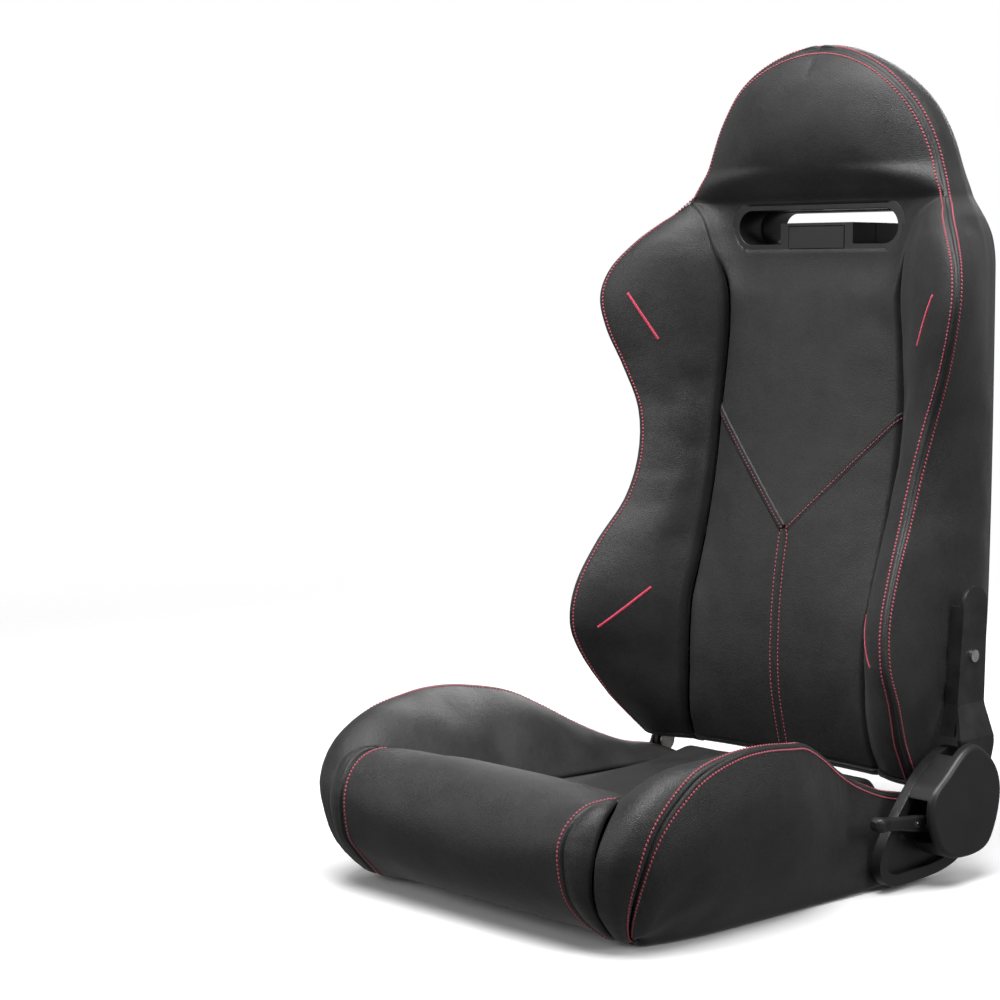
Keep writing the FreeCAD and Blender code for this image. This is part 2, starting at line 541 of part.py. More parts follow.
def springs():
    """Flat spiral that folds the backrest forward, and the lever's torsion spring."""
    step, turns, wire = 10.0, 2.6, 1.2
    start, growth = 11.0, 3.6

    def spiral(offset):
        count = int(turns * 360 / step)
        return [polar(start + offset + growth * i * step / 360, i * step) for i in range(count + 1)]
    inner, outer = spiral(0), spiral(wire)
    keep("recliner_return_spring", slab(outer + inner[::-1], (240.5, 247.5)))
    pitch, height, radius, thick = 2.2, 8.8, 7.6, 0.75
    helix = Part.makeHelix(pitch, height, radius)
    circle = Part.Circle(V(radius, 0, 0), V(0, 1, 0), thick).toShape()
    coil = Part.Wire(helix).makePipeShell([Part.Wire([circle])], True, True)
    coil.rotate(MID, V(0, 1, 0), 90)
    coil.translate(V(240.5, LEVER_Y, LEVER_Z))
    keep("lever_return_spring", coil)


# ---------------------------------------------------------------- backrest frame
def hoop_points():
    """Half of the hoop's route, from the lower cross tube to the top."""
    return [V(HOOP_X, LOWER_TUBE_Y, LOWER_TUBE_Z), V(HOOP_X, 288, 262), V(HOOP_X, 318, 400),
            V(HOOP_X, 338, 620), V(HOOP_X, 340, 664), V(152, 344, 752), V(112, 345, 884)]


def hoop_path_pipe(radius):
    half = hoop_points()
    other = [V(-p.x, p.y, p.z) for p in reversed(half)]
    return pipe(half + other, 40.0, radius)


def back_frame():
    """Tube hoop, two cross tubes and the springs behind the back pad."""
    lower = ring((-HOOP_X - HOOP_R, ARM_UPPER_X[0]), LOWER_TUBE_Y, LOWER_TUBE_Z, HOOP_R, HOOP_R - TUBE_WALL)
    lower_bar = rod((-HOOP_X - HOOP_R, ARM_UPPER_X[0]), LOWER_TUBE_Y, LOWER_TUBE_Z, HOOP_R)
    hoop = hoop_path_pipe(HOOP_R).cut(hoop_path_pipe(HOOP_R - TUBE_WALL)).cut(lower_bar)
    bolt = PARTS["arm_bolt"]
    keep("back_frame_hoop", hoop.cut(bolt))
    keep("back_lower_tube", lower)
    upper = rod((-HOOP_X, HOOP_X), UPPER_TUBE_Y, UPPER_TUBE_Z, HOOP_R - 2)
    upper = upper.cut(rod((-HOOP_X, HOOP_X), UPPER_TUBE_Y, UPPER_TUBE_Z, HOOP_R - 4))
    keep("back_upper_tube", upper.cut(hoop_path_pipe(HOOP_R)))
    springs = []
    turns, swing, bend = 14, 18.0, 8.0
    pitch = 2 * HOOP_X / (turns + 1)
    for z in BACK_SPRINGS_Z:
        y = along(LEG_Y, z) - HOOP_R - SPRING_R - SPRING_GAP
        springs.append(zigzag(V(-HOOP_X, y, z), V(1, 0, 0), V(0, 0, 1), turns, pitch, swing, bend))
    keep("back_springs", Part.makeCompound(springs))
    plate_x, top = (-PIVOT_ARM_X[1], -PIVOT_ARM_X[0]), 262.0
    arm = slab([(PIVOT_Y - 15, PIVOT_Z), (PIVOT_Y - 15, 128), (270, 190), (274, top), (298, top),
                (296, 190), (PIVOT_Y + 17, 128), (PIVOT_Y + 17, PIVOT_Z)], plate_x)
    arm = union([arm, rod(plate_x, PIVOT_Y, PIVOT_Z, 16.0)])
    arm = mirrored(arm.cut(rod((plate_x[0] - 1, plate_x[1] + 1), PIVOT_Y, PIVOT_Z, PIVOT_R + RUN)))
    keep("pivot_arm_right", arm.cut(hoop_path_pipe(HOOP_R)).cut(lower_bar))


# ---------------------------------------------------------------- backrest foam
def back_bolster():
    """Side bolster from the back's bottom to its shoulder: sections across at stations up it."""
    rings = []
    stations = (BACK_BASE, 140, 165, 210, 250, 299, 352, 400, 447, 516, 568, 610, 645, 686, 715, 744, 771)
    for z in stations:
        sx, sy = along(SEAM_X, z), along(SEAM_Y, z)
        cx, cy = along(CREASE_X, z) + CLEAR, along(CREASE_Y, z)
        ry, rx = along(REAR_Y, z) - 11, along(REAR_X, z)
        wide = min(max(sx - 6, 234.0), 262.0)
        if z < ARM_TOP + 15:
            wide = 233.0
        if z < 210:
            wide = 228.0 + (z - BACK_BASE) * 0.05
        if z > 720:
            wide = sx + 2
        corner = (min(wide - 6, 230.0), ry - 38)
        if z > 730:
            corner = (rx + 14, ry - 30)
        flank = (cx + (sx - cx) * 0.55, cy + (sy - cy) * 0.45)
        points = [(cx, cy), flank, (sx - 7, sy - 1), (sx, sy + 6), (wide, max(sy + 40, 285)), corner,
                  (rx, ry), (cx + 12, ry), (cx, ry - 30)]
        rings.append([V(a, b, z) for a, b in points])
    return loft(rings)


def back_foam():
    """Back pad, side bolsters, headrest and the padded rear panel."""
    room = hoop_path_pipe(HOOP_R + 0.6)
    bolster = back_bolster().cut(room)
    bolster = bolster.cut(rod((100, 252), LOWER_TUBE_Y, LOWER_TUBE_Z, HOOP_R + 0.6))
    bolster = bolster.cut(rod((100, HOOP_X), UPPER_TUBE_Y, UPPER_TUBE_Z, HOOP_R - 1.4))
    for z in BACK_SPRINGS_Z:
        y = along(LEG_Y, z) - HOOP_R - SPRING_R - SPRING_GAP
        bolster = bolster.cut(box((130, 204), (y - 3, y + 14), (z - 23, z + 23)))
    left = bolster.cut(rod((190, 260), ARM_BOLT_Y, ARM_BOLT_Z, 9.0))
    keep("back_bolster_left", left)
    plate_room = box((-PIVOT_ARM_X[1] - 1, -PIVOT_ARM_X[0] + 1), (250, 302), (80, 266))
    bracket_room = box((-PIVOT_ARM_X[1] - 1, -PIVOT_BRACKET_X[0] + 2), (236, 306), (BACK_BASE - 1, 140))
    keep("back_bolster_right", mirrored(bolster.cut(plate_room).cut(bracket_room)))

    rings = []
    for z in (BACK_BASE, 150, 193, 235, 276, 320, 368, 410, 454, 520, 600, 650, 704):
        side = along(CREASE_X, z) - CLEAR
        front, back = along(CREASE_Y, z), along(LEG_Y, z - 20) - 18.5
        if z < 200:
            back = max(back, front + 14)
        rings.append([V(-side, front, z), V(side, front, z), V(side, back, z), V(-side, back, z)])
    keep("back_center_pad", loft(rings))

    rings = []
    for z in (HEAD_BASE, 800, 830, 870, 900, 925, 940, 949):
        sx, sy, front = along(SEAM_X, z), along(SEAM_Y, z), along(HEAD_Y, z)
        rx, ry = along(REAR_X, z), along(REAR_Y, z) - 12
        deep = ry - sy
        half = [(0, front), (sx * 0.45, front + (sy - front) * 0.12),
                (sx * 0.8, front + (sy - front) * 0.5), (sx, sy + deep * 0.03), (sx + 1, sy + deep * 0.2),
                (rx + (sx - rx) * 0.35, ry - deep * 0.2), (rx, ry)]
        other = [(-a, b) for a, b in half[:0:-1]]
        rings.append([V(a, b, z) for a, b in half + other])
    keep("headrest_pad", loft(rings).cut(room))

    rings = []
    for z in (BACK_BASE, 160, 200, 260, 320, 500, 690, 744, 800, 835, 870, 900, 925, 940, 949):
        rx, ry = along(REAR_X, z) - 1, along(REAR_Y, z)
        half = [(0, ry), (rx * 0.8, ry - 0.5), (rx, ry - 5), (rx - 2, ry - 10.6), (0, ry - 10.6)]
        other = [(-a, b) for a, b in half[3:0:-1]]
        rings.append([V(a, b, z) for a, b in half + other])
    half = BEZEL_HALF - BEZEL_RIM + BEZEL_WALL + 1
    opening = stadium(half, BEZEL_HEIGHT - 2 * BEZEL_RIM + 2 * BEZEL_WALL + 2, (350, 420))
    panel = loft(rings).cut(opening)
    for x in BEZEL_SCREWS_X:
        panel = panel.cut(Part.makeCylinder(SCREW_R + 0.3, 60.0, V(x, 350, BEZEL_SCREW_Z), V(0, 1, 0)))
    keep("back_rear_panel", panel)


# ---------------------------------------------------------------- harness opening
def stadium(half, height, y):
    """Rounded bar across the seat, long along Y between the limits, at the harness opening."""
    r = height / 2
    middle = box((-half + r, half - r), y, (BEZEL_Z - r, BEZEL_Z + r))
    ends = [Part.makeCylinder(r, y[1] - y[0], V(side * (half - r), y[0], BEZEL_Z), V(0, 1, 0))
            for side in (-1, 1)]
    return union([middle] + ends)


def block(inset, y):
    half = BEZEL_BLOCK_HALF - inset
    low = BEZEL_Z - BEZEL_HEIGHT / 2 - 5
    return box((-half, half), y, (low, BEZEL_Z + BEZEL_BLOCK_TOP - inset))


def bezel_half(flange_y, tunnel_y, rim, grow):
    """One moulded half: a flange and a tunnel round the belt slots."""
    height = BEZEL_HEIGHT
    inner_half, inner_height = BEZEL_HALF - BEZEL_RIM + grow, height - 2 * BEZEL_RIM + 2 * grow
    far = (min(flange_y[0], tunnel_y[0]) - 1, max(flange_y[1], tunnel_y[1]) + 1)
    opening = stadium(inner_half, inner_height, far).cut(block(0, far))
    flange = stadium(inner_half + rim, inner_height + 2 * rim, flange_y)
    wall = stadium(inner_half + BEZEL_WALL, inner_height + 2 * BEZEL_WALL, tunnel_y)
    wall = wall.cut(block(BEZEL_WALL, far))
    return union([flange, wall]).cut(opening)


def harness_bezels():
    face = (BEZEL_Y, BEZEL_Y + 5.0)
    middle = 352.0
    front = bezel_half(face, (face[1], middle), BEZEL_RIM, 0.0)
    pocket = box((-43, 43), (face[0] - 1, face[0] + 1.2), (BEZEL_Z - 26, BEZEL_Z + 1))
    front = front.cut(pocket)
    keep("harness_bezel_front", front)
    plate = box((-42.5, 42.5), (face[0] - 0.3, face[0] + 1.2), (BEZEL_Z - 25.5, BEZEL_Z + 0.5))
    keep("bezel_plate", plate)
    rear_face = (BEZEL_REAR_Y - 4.0, BEZEL_REAR_Y)
    rear = bezel_half(rear_face, (middle + 0.4, rear_face[0]), BEZEL_RIM - 1, -1.5)
    screws = []
    for x in BEZEL_SCREWS_X:
        place = V(x, rear_face[0], BEZEL_SCREW_Z)
        rear = rear.cut(Part.makeCylinder(SCREW_R, 4.0, place, V(0, 1, 0)))
        shank = Part.makeCylinder(SCREW_R, 16.0, V(x, BEZEL_REAR_Y - 16, BEZEL_SCREW_Z), V(0, 1, 0))
        head = Part.makeCylinder(3.6, 1.6, V(x, BEZEL_REAR_Y, BEZEL_SCREW_Z), V(0, 1, 0))
        screws.append(union([shank, head]))
    keep("harness_bezel_rear", rear)
    keep("bezel_screws", Part.makeCompound(screws))


seat_frame()
cushion_foam()
brackets()
hinge_pins()
inner_cover()
outer_cover()
arm_left()
sector_gear()
locking_pawl()
lever()
springs()
back_frame()
back_foam()
harness_bezels()

os.makedirs("parts", exist_ok=True)
for name, shape in PARTS.items():
    print(name, shape.ShapeType, len(shape.Solids), shape.isValid(), round(shape.Volume / 1000, 1))
    shape.exportStep("parts/" + name + ".step")
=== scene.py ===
import json
import math

import bpy
import numpy as np
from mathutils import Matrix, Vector
from mathutils.bvhtree import BVHTree
from mathutils.kdtree import KDTree


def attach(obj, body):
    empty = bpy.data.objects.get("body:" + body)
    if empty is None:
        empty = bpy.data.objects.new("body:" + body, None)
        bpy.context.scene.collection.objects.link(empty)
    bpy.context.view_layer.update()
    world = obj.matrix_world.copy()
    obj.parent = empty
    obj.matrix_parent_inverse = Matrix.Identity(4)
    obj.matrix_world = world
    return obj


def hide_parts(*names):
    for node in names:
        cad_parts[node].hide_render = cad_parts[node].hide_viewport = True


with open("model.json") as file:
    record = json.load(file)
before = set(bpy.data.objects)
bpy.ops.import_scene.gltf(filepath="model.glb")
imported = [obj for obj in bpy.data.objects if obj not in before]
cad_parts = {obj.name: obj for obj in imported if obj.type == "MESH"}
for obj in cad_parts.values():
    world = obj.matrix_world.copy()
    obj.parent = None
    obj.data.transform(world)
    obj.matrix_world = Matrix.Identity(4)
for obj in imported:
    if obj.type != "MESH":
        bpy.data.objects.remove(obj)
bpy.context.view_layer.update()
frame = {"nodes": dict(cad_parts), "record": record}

MM = 0.001
FLIP = np.array([-1.0, 1.0, 1.0])              # mirror of the left half

# ---------------------------------------------------------------- driving sizes
SKIN = 3.0                                     # thickness of cover and its backing foam
SEAM_DEPTH, SEAM_WIDTH = 2.6, 1.7              # valley of a sewn seam
ROW_OFFSET = 6.5                               # stitch rows beside a seam
STITCH_PITCH, STITCH_LENGTH, STITCH_R = 4.5, 4.0, 1.15
EDGE = (0.0, 0.7, 1.4, 2.2, 3.2, 4.4, 5.4, 6.5, 7.6, 9.0, 11.0, 13.5, 17.0)    # columns beside a seam
ROW_COLUMN = EDGE.index(ROW_OFFSET)
STEP = 4.6                                     # ordinary mesh spacing
TIP_Z, TOP_Z = 772.0, 950.0                    # where bolster and head meet, and the top
SLOT_Z, SLOT_HALF, SLOT_HEIGHT = 739.0, 134.0, 65.0    # harness opening
BASE_Z = 109.0                                 # underside of the backrest

# backrest seam, crease and centre line against height: (Z, X, Y) or (Z, Y)
BACK_SEAM = ((109, 212, 237), (135, 222, 212), (160, 231, 190), (210, 246, 157), (250, 248, 139),
             (299, 243, 143), (352, 233, 170), (405, 220, 207), (460, 218, 229), (516, 228, 239),
             (568, 249, 233), (615, 268, 222), (655, 276, 219), (690, 268, 229), (722, 246, 250),
             (744, 225, 270), (762, 206, 291), (772, 197, 299))
HEAD_MIDDLE_Z = 790.0                          # the head's outline in polar form: (angle, radius, Y)
HEAD_POLAR = ((-5.2, 197.8, 299), (2.5, 184.2, 308), (10.4, 176.9, 311), (28, 170, 308), (45, 165.5, 302),
              (67, 161, 303), (90, 160, 309))
BACK_CREASE = ((109, 146, 253), (143, 143, 240), (193, 140, 236), (276, 140, 239), (320, 140, 252),
               (368, 141, 268), (445, 142, 286), (520, 142, 296), (600, 136, 300), (651, 133, 298),
               (682, 137, 295), (706, 144, 291), (725, 152, 290), (743, 160, 290), (757, 170, 292),
               (767, 184, 296), (772, 197, 299))
CENTRE_LINE = ((109, 262), (122, 258), (185, 244.5), (270, 245), (330, 251), (383, 261), (445, 275),
               (520, 288), (600, 298), (650, 303), (707, 309.5), (739, 311), (768, 309), (780, 300),
               (800, 287), (820, 280), (860, 275), (900, 281), (930, 296), (944, 306), (950, 312))
REAR_WIDTH = ((109, 186), (200, 199), (320, 203), (690, 203), (722, 199), (744, 189), (772, 169.4), (800, 156))
REAR_DEPTH = ((109, 370), (200, 382), (320, 388), (700, 390), (800, 391), (870, 387), (908, 377),
              (935, 369), (950, 365))

# cushion: outer seam paired with the crease inside it and the lower edge outside it
CUSHION_SEAM = ((196, -197, 4), (207, -220, 14), (231, -241, 51), (249, -242, 98), (255, -230, 130), (257, -204, 157),
                (258, -167, 181), (257, -118, 194), (257, -75, 197), (254, -28, 193), (237, 18, 184),
                (226, 62, 163), (214, 104, 139), (208, 144, 119), (210, 190, 102), (211, 247, 91))
CUSHION_CREASE = ((189, -200, 4), (194, -232, 11), (201, -266, 50), (208, -275, 95), (209, -266, 124), (205, -246, 145),
                  (187, -214, 149), (165, -150, 122), (152, -105, 100), (146, -60, 88), (145, 0, 86),
                  (145, 52, 86), (145, 100, 86), (145, 144, 86), (145, 190, 86), (145, 247, 84))
CUSHION_HEM = ((194, -192, 3), (200, -206, 3), (212, -206, 2), (219, -190, 2), (225, -165, 2), (227, -140, 2),
               (228, -110, 2), (228, -75, 2), (228, -45, 2), (228, -15, 2), (228, 25, 2),
               (228, 65, 2), (228, 104, 2), (228, 144, 2), (226, 190, 2), (222, 247, 2))
ROLL_MIDDLE = ((-80, 80), (-88, 94), (-130, 121), (-180, 146), (-215, 152), (-255, 143), (-279, 122),
               (-288, 98), (-284, 72), (-266, 42), (-240, 20), (-215, 8), (-198, 3), (-178, 4))
ROLL_END = ((150, -80, 80), (152, -90, 94), (163, -130, 117), (177, -180, 142), (187, -216, 151),
            (182, -250, 149), (178, -273, 135), (175, -285, 113), (175, -285, 86), (176, -279, 60),
            (175, -266, 42), (177, -249, 24), (186, -224, 6), (188, -195, 4))
SEWN_FROM, SEWN_TO = 4, 13                     # the part of ROLL_END that is a stitched seam
GUSSET_CREASE = ((187, -216, 151), (203, -242, 148), (208, -258, 138), (209, -270, 118), (208, -275, 95),
                 (204, -273, 73), (201, -266, 50), (197, -250, 29), (194, -232, 11), (189, -200, 4))
PAD_PROFILE = ((-96, 74), (-88, 84), (-76, 90), (-50, 91), (0, 89), (90, 87), (180, 90), (220, 96),
               (240, 99), (251, 96), (259, 87), (263, 76), (263, 62), (262, 44), (256, 36), (244, 34.5))
PAD_HALF = 145.0
FOAM_Z = 34.0
LOWEST = 0.6                                   # clearance of the hems above the floor


# ---------------------------------------------------------------- curves and grids
def at(keys, t):
    """Smooth curve through keys (t, values...), read at every t."""
    keys = np.array(keys, float)
    ts, values = keys[:, 0], keys[:, 1:]
    slopes = np.empty_like(values)
    slopes[1:-1] = (values[2:] - values[:-2]) / (ts[2:] - ts[:-2])[:, None]
    slopes[0] = (values[1] - values[0]) / (ts[1] - ts[0])
    slopes[-1] = (values[-1] - values[-2]) / (ts[-1] - ts[-2])
    t = np.clip(np.atleast_1d(np.asarray(t, float)), ts[0], ts[-1])
    i = np.clip(np.searchsorted(ts, t, "right") - 1, 0, len(ts) - 2)
    span = (ts[i + 1] - ts[i])[:, None]
    s = (t - ts[i])[:, None] / span
    start = (2 * s**3 - 3 * s**2 + 1) * values[i] + (s**3 - 2 * s**2 + s) * span * slopes[i]
    end = (3 * s**2 - 2 * s**3) * values[i + 1] + (s**3 - s**2) * span * slopes[i + 1]
    return start + end


def lengths(points):
    """Distance along a line of points, at each point."""
    steps = np.linalg.norm(np.diff(points, axis=0), axis=1)
    return np.concatenate([[0.0], np.cumsum(steps)])


def resample(points, places):
    """Points at given distances along a line."""
    run = lengths(points)
    return np.stack([np.interp(places, run, points[:, k]) for k in range(3)], axis=1)


def route(points, step):
    """Smooth line through points, evenly spaced at about step."""
    points = np.array(points, float)
    chord = np.maximum(lengths(points), np.arange(len(points)) * 1e-6)
    dense = at(np.column_stack([chord, points]), np.linspace(0, chord[-1], 60 * len(points)))
    total = lengths(dense)[-1]
    return resample(dense, np.linspace(0, total, max(2, round(total / step) + 1)))


def columns(length, widest, near=True, far=False):
    """Distances across a row: fine beside a sewn edge, about STEP elsewhere. widest fixes their number."""
    count = max(2, round((widest - EDGE[-1] * (near + far)) / STEP))
    fine = np.array(EDGE) * min(1.0, length / (EDGE[-1] * 3.2))
    start = fine if near else np.array([0.0])
    stop = length - (fine[::-1] if far else np.array([0.0]))
    middle = np.linspace(start[-1], stop[0], count + 1)[1:-1]
    return np.concatenate([start, middle, stop])


def smoothstep(t):
    t = np.clip(t, 0, 1)
    return t * t * (3 - 2 * t)


def normals(grid, core):
    """Unit normals of a grid, pointing away from core."""
    along = np.gradient(grid, axis=0)
    across = np.gradient(grid, axis=1)
    n = np.cross(along, across)
    size = np.linalg.norm(n, axis=2, keepdims=True)
    weak = size[:, :, 0] < 1e-6
    n = n / np.maximum(size, 1e-9)
    if np.sum(n * (grid - np.array(core, float))) < 0:
        n = -n
    n[weak] = n[~weak].mean(axis=0) if weak.any() else 0
    return n


def distance(grid, line):
    """Distance of each grid point from a line of points."""
    dense = resample(line, np.arange(0, lengths(line)[-1], 0.5))
    tree = KDTree(len(dense))
    for i, p in enumerate(dense):
        tree.insert(p, i)
    tree.balance()
    flat = grid.reshape(-1, 3)
    return np.array([tree.find(p)[2] for p in flat]).reshape(grid.shape[:-1])


def tuck(grid, line, core, depth=SEAM_DEPTH, width=SEAM_WIDTH, groove=0.35, direction=None):
    """Pulls a grid down into a seam along line, with a shallow groove under the stitch row beside it."""
    d = distance(grid, line)
    down = depth * np.exp(-((d / width) ** 2)) + groove * np.exp(-(((d - ROW_OFFSET) / 1.3) ** 2))
    inward = -normals(grid, core) if direction is None else np.array(direction, float)
    return grid + inward * down[:, :, None]


def tuck_crease(grid, core, direction):
    """Deep valley along the left backrest crease, closing to a plain seam towards its tip."""
    d = distance(grid, CREASE)
    fade = smoothstep((grid[..., 2] - 668.0) / 60.0)
    depth = 9.0 + (SEAM_DEPTH - 9.0) * fade
    width = 4.5 + (SEAM_WIDTH - 4.5) * fade
    way = np.array(direction, float) * (1 - fade)[..., None] - normals(grid, core) * fade[..., None]
    return grid + way * (depth * np.exp(-((d / width) ** 2)))[..., None]


def pucker(grid, line_column, core, size, wave, reach):
    """Small gathers that run off a sewn edge and fade within reach."""
    edge = grid[:, line_column]
    run = lengths(edge)[:, None]
    d = np.linalg.norm(grid - edge[:, None], axis=2)
    ripple = np.sin(run / wave * 2 * math.pi + 1.7 * np.sin(run / 37.0)) * (1 + np.sin(run / 61.0)) / 2
    fade = smoothstep(d / 7.0) * np.exp(-((d / reach) ** 2))
    return grid + normals(grid, core) * (size * ripple * fade)[:, :, None]


# ---------------------------------------------------------------- meshes
def weld(grids, drop=None):
    """Vertices and faces of several grids that share edges. drop says which vertices' faces go."""
    points = np.concatenate([g.reshape(-1, 3) for g in grids])
    unique, inverse = np.unique(np.round(points, 2), axis=0, return_inverse=True)
    inverse = inverse.reshape(-1)
    gone = drop(unique) if drop else np.zeros(len(unique), bool)
    faces, start = [], 0
    for g in grids:
        index = inverse[start:start + g.shape[0] * g.shape[1]].reshape(g.shape[:2])
        start += g.shape[0] * g.shape[1]
        quads = np.stack([index[:-1, :-1], index[:-1, 1:], index[1:, 1:], index[1:, :-1]], axis=-1)
        for quad in quads.reshape(-1, 4).tolist():
            face = [v for i, v in enumerate(quad) if v != quad[i - 1]]
            if len(face) > 2 and len(set(face)) == len(face) and not all(gone[v] for v in face):
                faces.append(face)
    used = sorted({v for f in faces for v in f})
    place = {v: i for i, v in enumerate(used)}
    return unique[used], [[place[v] for v in f] for f in faces]


def mesh_object(name, points, faces, material, smooth=True):
    """Object from points in millimetres."""
    mesh = bpy.data.meshes.new(name)
    mesh.from_pydata((np.asarray(points) * MM).tolist(), [], faces)
    mesh.validate()
    if smooth:
        mesh.shade_smooth()
    mesh.materials.append(material)
    obj = bpy.data.objects.new(name, mesh)
    bpy.context.scene.collection.objects.link(obj)
    return obj


def face_out(points, faces, core):
    """Turns all faces of a sheet so that they face away from core."""
    core = np.array(core, float)
    total = 0.0
    for f in faces:
        a, b, c = points[f[0]], points[f[1]], points[f[2]]
        total += np.dot(np.cross(b - a, c - a), a - core)
    return faces if total > 0 else [f[::-1] for f in faces]


def cover(name, grids, core, material, body, replaced=(), thickness=SKIN, drop=None):
    """Padded cover panel: a sheet with thickness, riding on a body."""
    points, faces = weld(grids, drop)
    obj = mesh_object(name, points, face_out(points, faces, core), material)
    solid = obj.modifiers.new("thickness", "SOLIDIFY")
    solid.thickness = thickness * MM
    solid.offset = -1.0
    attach(obj, body)
    if replaced:
        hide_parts(*replaced)
    return obj


# ---------------------------------------------------------------- cloth
COARSE = 3                                     # simulate every third row and column
PIN_BAND = 15.0                                # cover that its seam holds


def inflate(grid, core, cap, pressure=4.0, frames=16, held=None):
    """Puffs a panel out by cloth simulation with its sewn edges held, and moves each point by up to cap."""
    rows = np.unique(np.append(np.arange(0, grid.shape[0], COARSE), grid.shape[0] - 1))
    cols = np.unique(np.append(np.arange(0, grid.shape[1], COARSE), grid.shape[1] - 1))
    small = grid[rows][:, cols]
    flat = small.reshape(-1, 3)
    unique, inverse = np.unique(np.round(flat, 2), axis=0, return_inverse=True)
    inverse = inverse.reshape(-1)
    points, faces = unique, []
    index = inverse.reshape(small.shape[:2])
    quads = np.stack([index[:-1, :-1], index[:-1, 1:], index[1:, 1:], index[1:, :-1]], axis=-1)
    for quad in quads.reshape(-1, 4).tolist():
        face = [v for i, v in enumerate(quad) if v != quad[i - 1]]
        if len(face) > 2 and len(set(face)) == len(face):
            faces.append(face)
    mesh = bpy.data.meshes.new("cloth")
    mesh.from_pydata((points * MM).tolist(), [], face_out(points, faces, core))
    obj = bpy.data.objects.new("cloth", mesh)
    bpy.context.scene.collection.objects.link(obj)
    borders = [grid[0], grid[-1], grid[:, 0], grid[:, -1]] if held is None else held
    away = np.full(len(points), 1e9)
    for line in borders:
        if lengths(line)[-1] > 1.0:
            away = np.minimum(away, distance(points[None], line)[0])
    group = obj.vertex_groups.new(name="sewn")
    for i, d in enumerate(away):
        group.add([i], 1.0 if d < PIN_BAND else 0.0, "REPLACE")
    cloth = obj.modifiers.new("cloth", "CLOTH").settings
    cloth.quality = 6
    cloth.mass = 0.2
    cloth.tension_stiffness = 12
    cloth.compression_stiffness = 12
    cloth.shear_stiffness = 6
    cloth.bending_stiffness = 1.5
    cloth.use_pressure = True
    cloth.uniform_pressure_force = pressure
    cloth.shrink_min = -0.006
    cloth.vertex_group_mass = "sewn"
    cloth.effector_weights.gravity = 0.0
    obj.modifiers["cloth"].collision_settings.use_collision = False
    for number in range(1, frames + 1):
        bpy.context.scene.frame_set(number)
    evaluated = obj.evaluated_get(bpy.context.evaluated_depsgraph_get())
    moved = np.empty(len(points) * 3)
    evaluated.data.vertices.foreach_get("co", moved)
    moved = moved.reshape(-1, 3) / MM - points
    bpy.data.objects.remove(obj)
    bpy.context.scene.frame_set(1)
    size = np.linalg.norm(moved, axis=1, keepdims=True)
    moved = moved * (cap * np.tanh(size / cap) / np.maximum(size, 1e-9))
    field = eased(moved[inverse].reshape(small.shape))
    wide = np.stack([at(np.column_stack([cols, row]), np.arange(grid.shape[1])) for row in field])
    flat_rows = wide.reshape(len(rows), -1)
    full = at(np.column_stack([rows, flat_rows]), np.arange(grid.shape[0])).reshape(grid.shape)
    return grid + full


def eased(field, share=0.65, passes=2):
    """Field on a grid with its sharpest folds softened."""
    for _ in range(passes):
        around = (field[:-2, 1:-1] + field[2:, 1:-1] + field[1:-1, :-2] + field[1:-1, 2:]) / 4
        field = field.copy()
        field[1:-1, 1:-1] += (around - field[1:-1, 1:-1]) * share
    return field


# ---------------------------------------------------------------- threads
def beads(path, out, pitch, length, radius, slant=0.22, sides=6, phase=0.0):
    """Points and faces of a row of stitches along path. out is the surface normal at each path point."""
    run = lengths(path)
    shape = ((0.0, 0.25, -0.55), (0.12, 0.8, 0.1), (0.5, 1.0, 0.5), (0.88, 0.8, 0.1), (1.0, 0.25, -0.55))
    points, faces = [], []
    count = int((run[-1] - length) / pitch)
    for i in range(count + 1):
        start = phase + i * pitch
        ends = resample(path, [start, start + length])
        run_dir = ends[1] - ends[0]
        size = np.linalg.norm(run_dir)
        if size < length * 0.4:
            continue
        run_dir = run_dir / size
        normal = nearest_normal(path, out, run, start + length / 2)
        normal = normal - run_dir * np.dot(normal, run_dir)
        normal /= np.linalg.norm(normal)
        side = np.cross(normal, run_dir)
        run_dir = run_dir * math.cos(slant) + side * math.sin(slant)
        side = np.cross(normal, run_dir)
        middle = (ends[0] + ends[1]) / 2
        base = len(points)
        for s, wide, lift in shape:
            centre = middle + run_dir * (s - 0.5) * length + normal * radius * lift
            for k in range(sides):
                a = 2 * math.pi * k / sides
                points.append(centre + (side * math.cos(a) + normal * math.sin(a)) * radius * wide)
        for r in range(len(shape) - 1):
            for k in range(sides):
                a, b = base + r * sides + k, base + r * sides + (k + 1) % sides
                faces.append([a, b, b + sides, a + sides])
        last = base + (len(shape) - 1) * sides
        faces.append([base + k for k in reversed(range(sides))])
        faces.append([last + k for k in range(sides)])
    return points, faces


def nearest_normal(path, out, run, place):
    """Surface normal at a distance along a path."""
    i = min(np.searchsorted(run, place), len(out) - 1)
    return out[i] / np.linalg.norm(out[i])


def thread_object(name, rows, material, body, **style):
    """One object of stitches from (path, normals) rows."""
    points, faces = [], []
    for path, out in rows:
        p, f = beads(path, out, style.get("pitch", STITCH_PITCH), style.get("length", STITCH_LENGTH),
                     style.get("radius", STITCH_R), style.get("slant", 0.22))
        faces += [[v + len(points) for v in face] for face in f]
        points += p
    obj = mesh_object(name, points, faces, material)
    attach(obj, body)
    return obj


def onto(tree, path, direction):
    """Path dropped on a surface along a direction, and the surface normals there."""
    hits, outs = [], []
    ray = Vector(direction).normalized()
    for p in path:
        spot, normal, _, _ = tree.ray_cast(Vector(p) - ray * 60.0, ray, 200.0)
        if spot is None:
            spot, normal, _, _ = tree.find_nearest(Vector(p))
        if normal.dot(ray) > 0:
            normal = -normal
        hits.append(spot)
        outs.append(normal)
    return np.array(hits), np.array(outs)


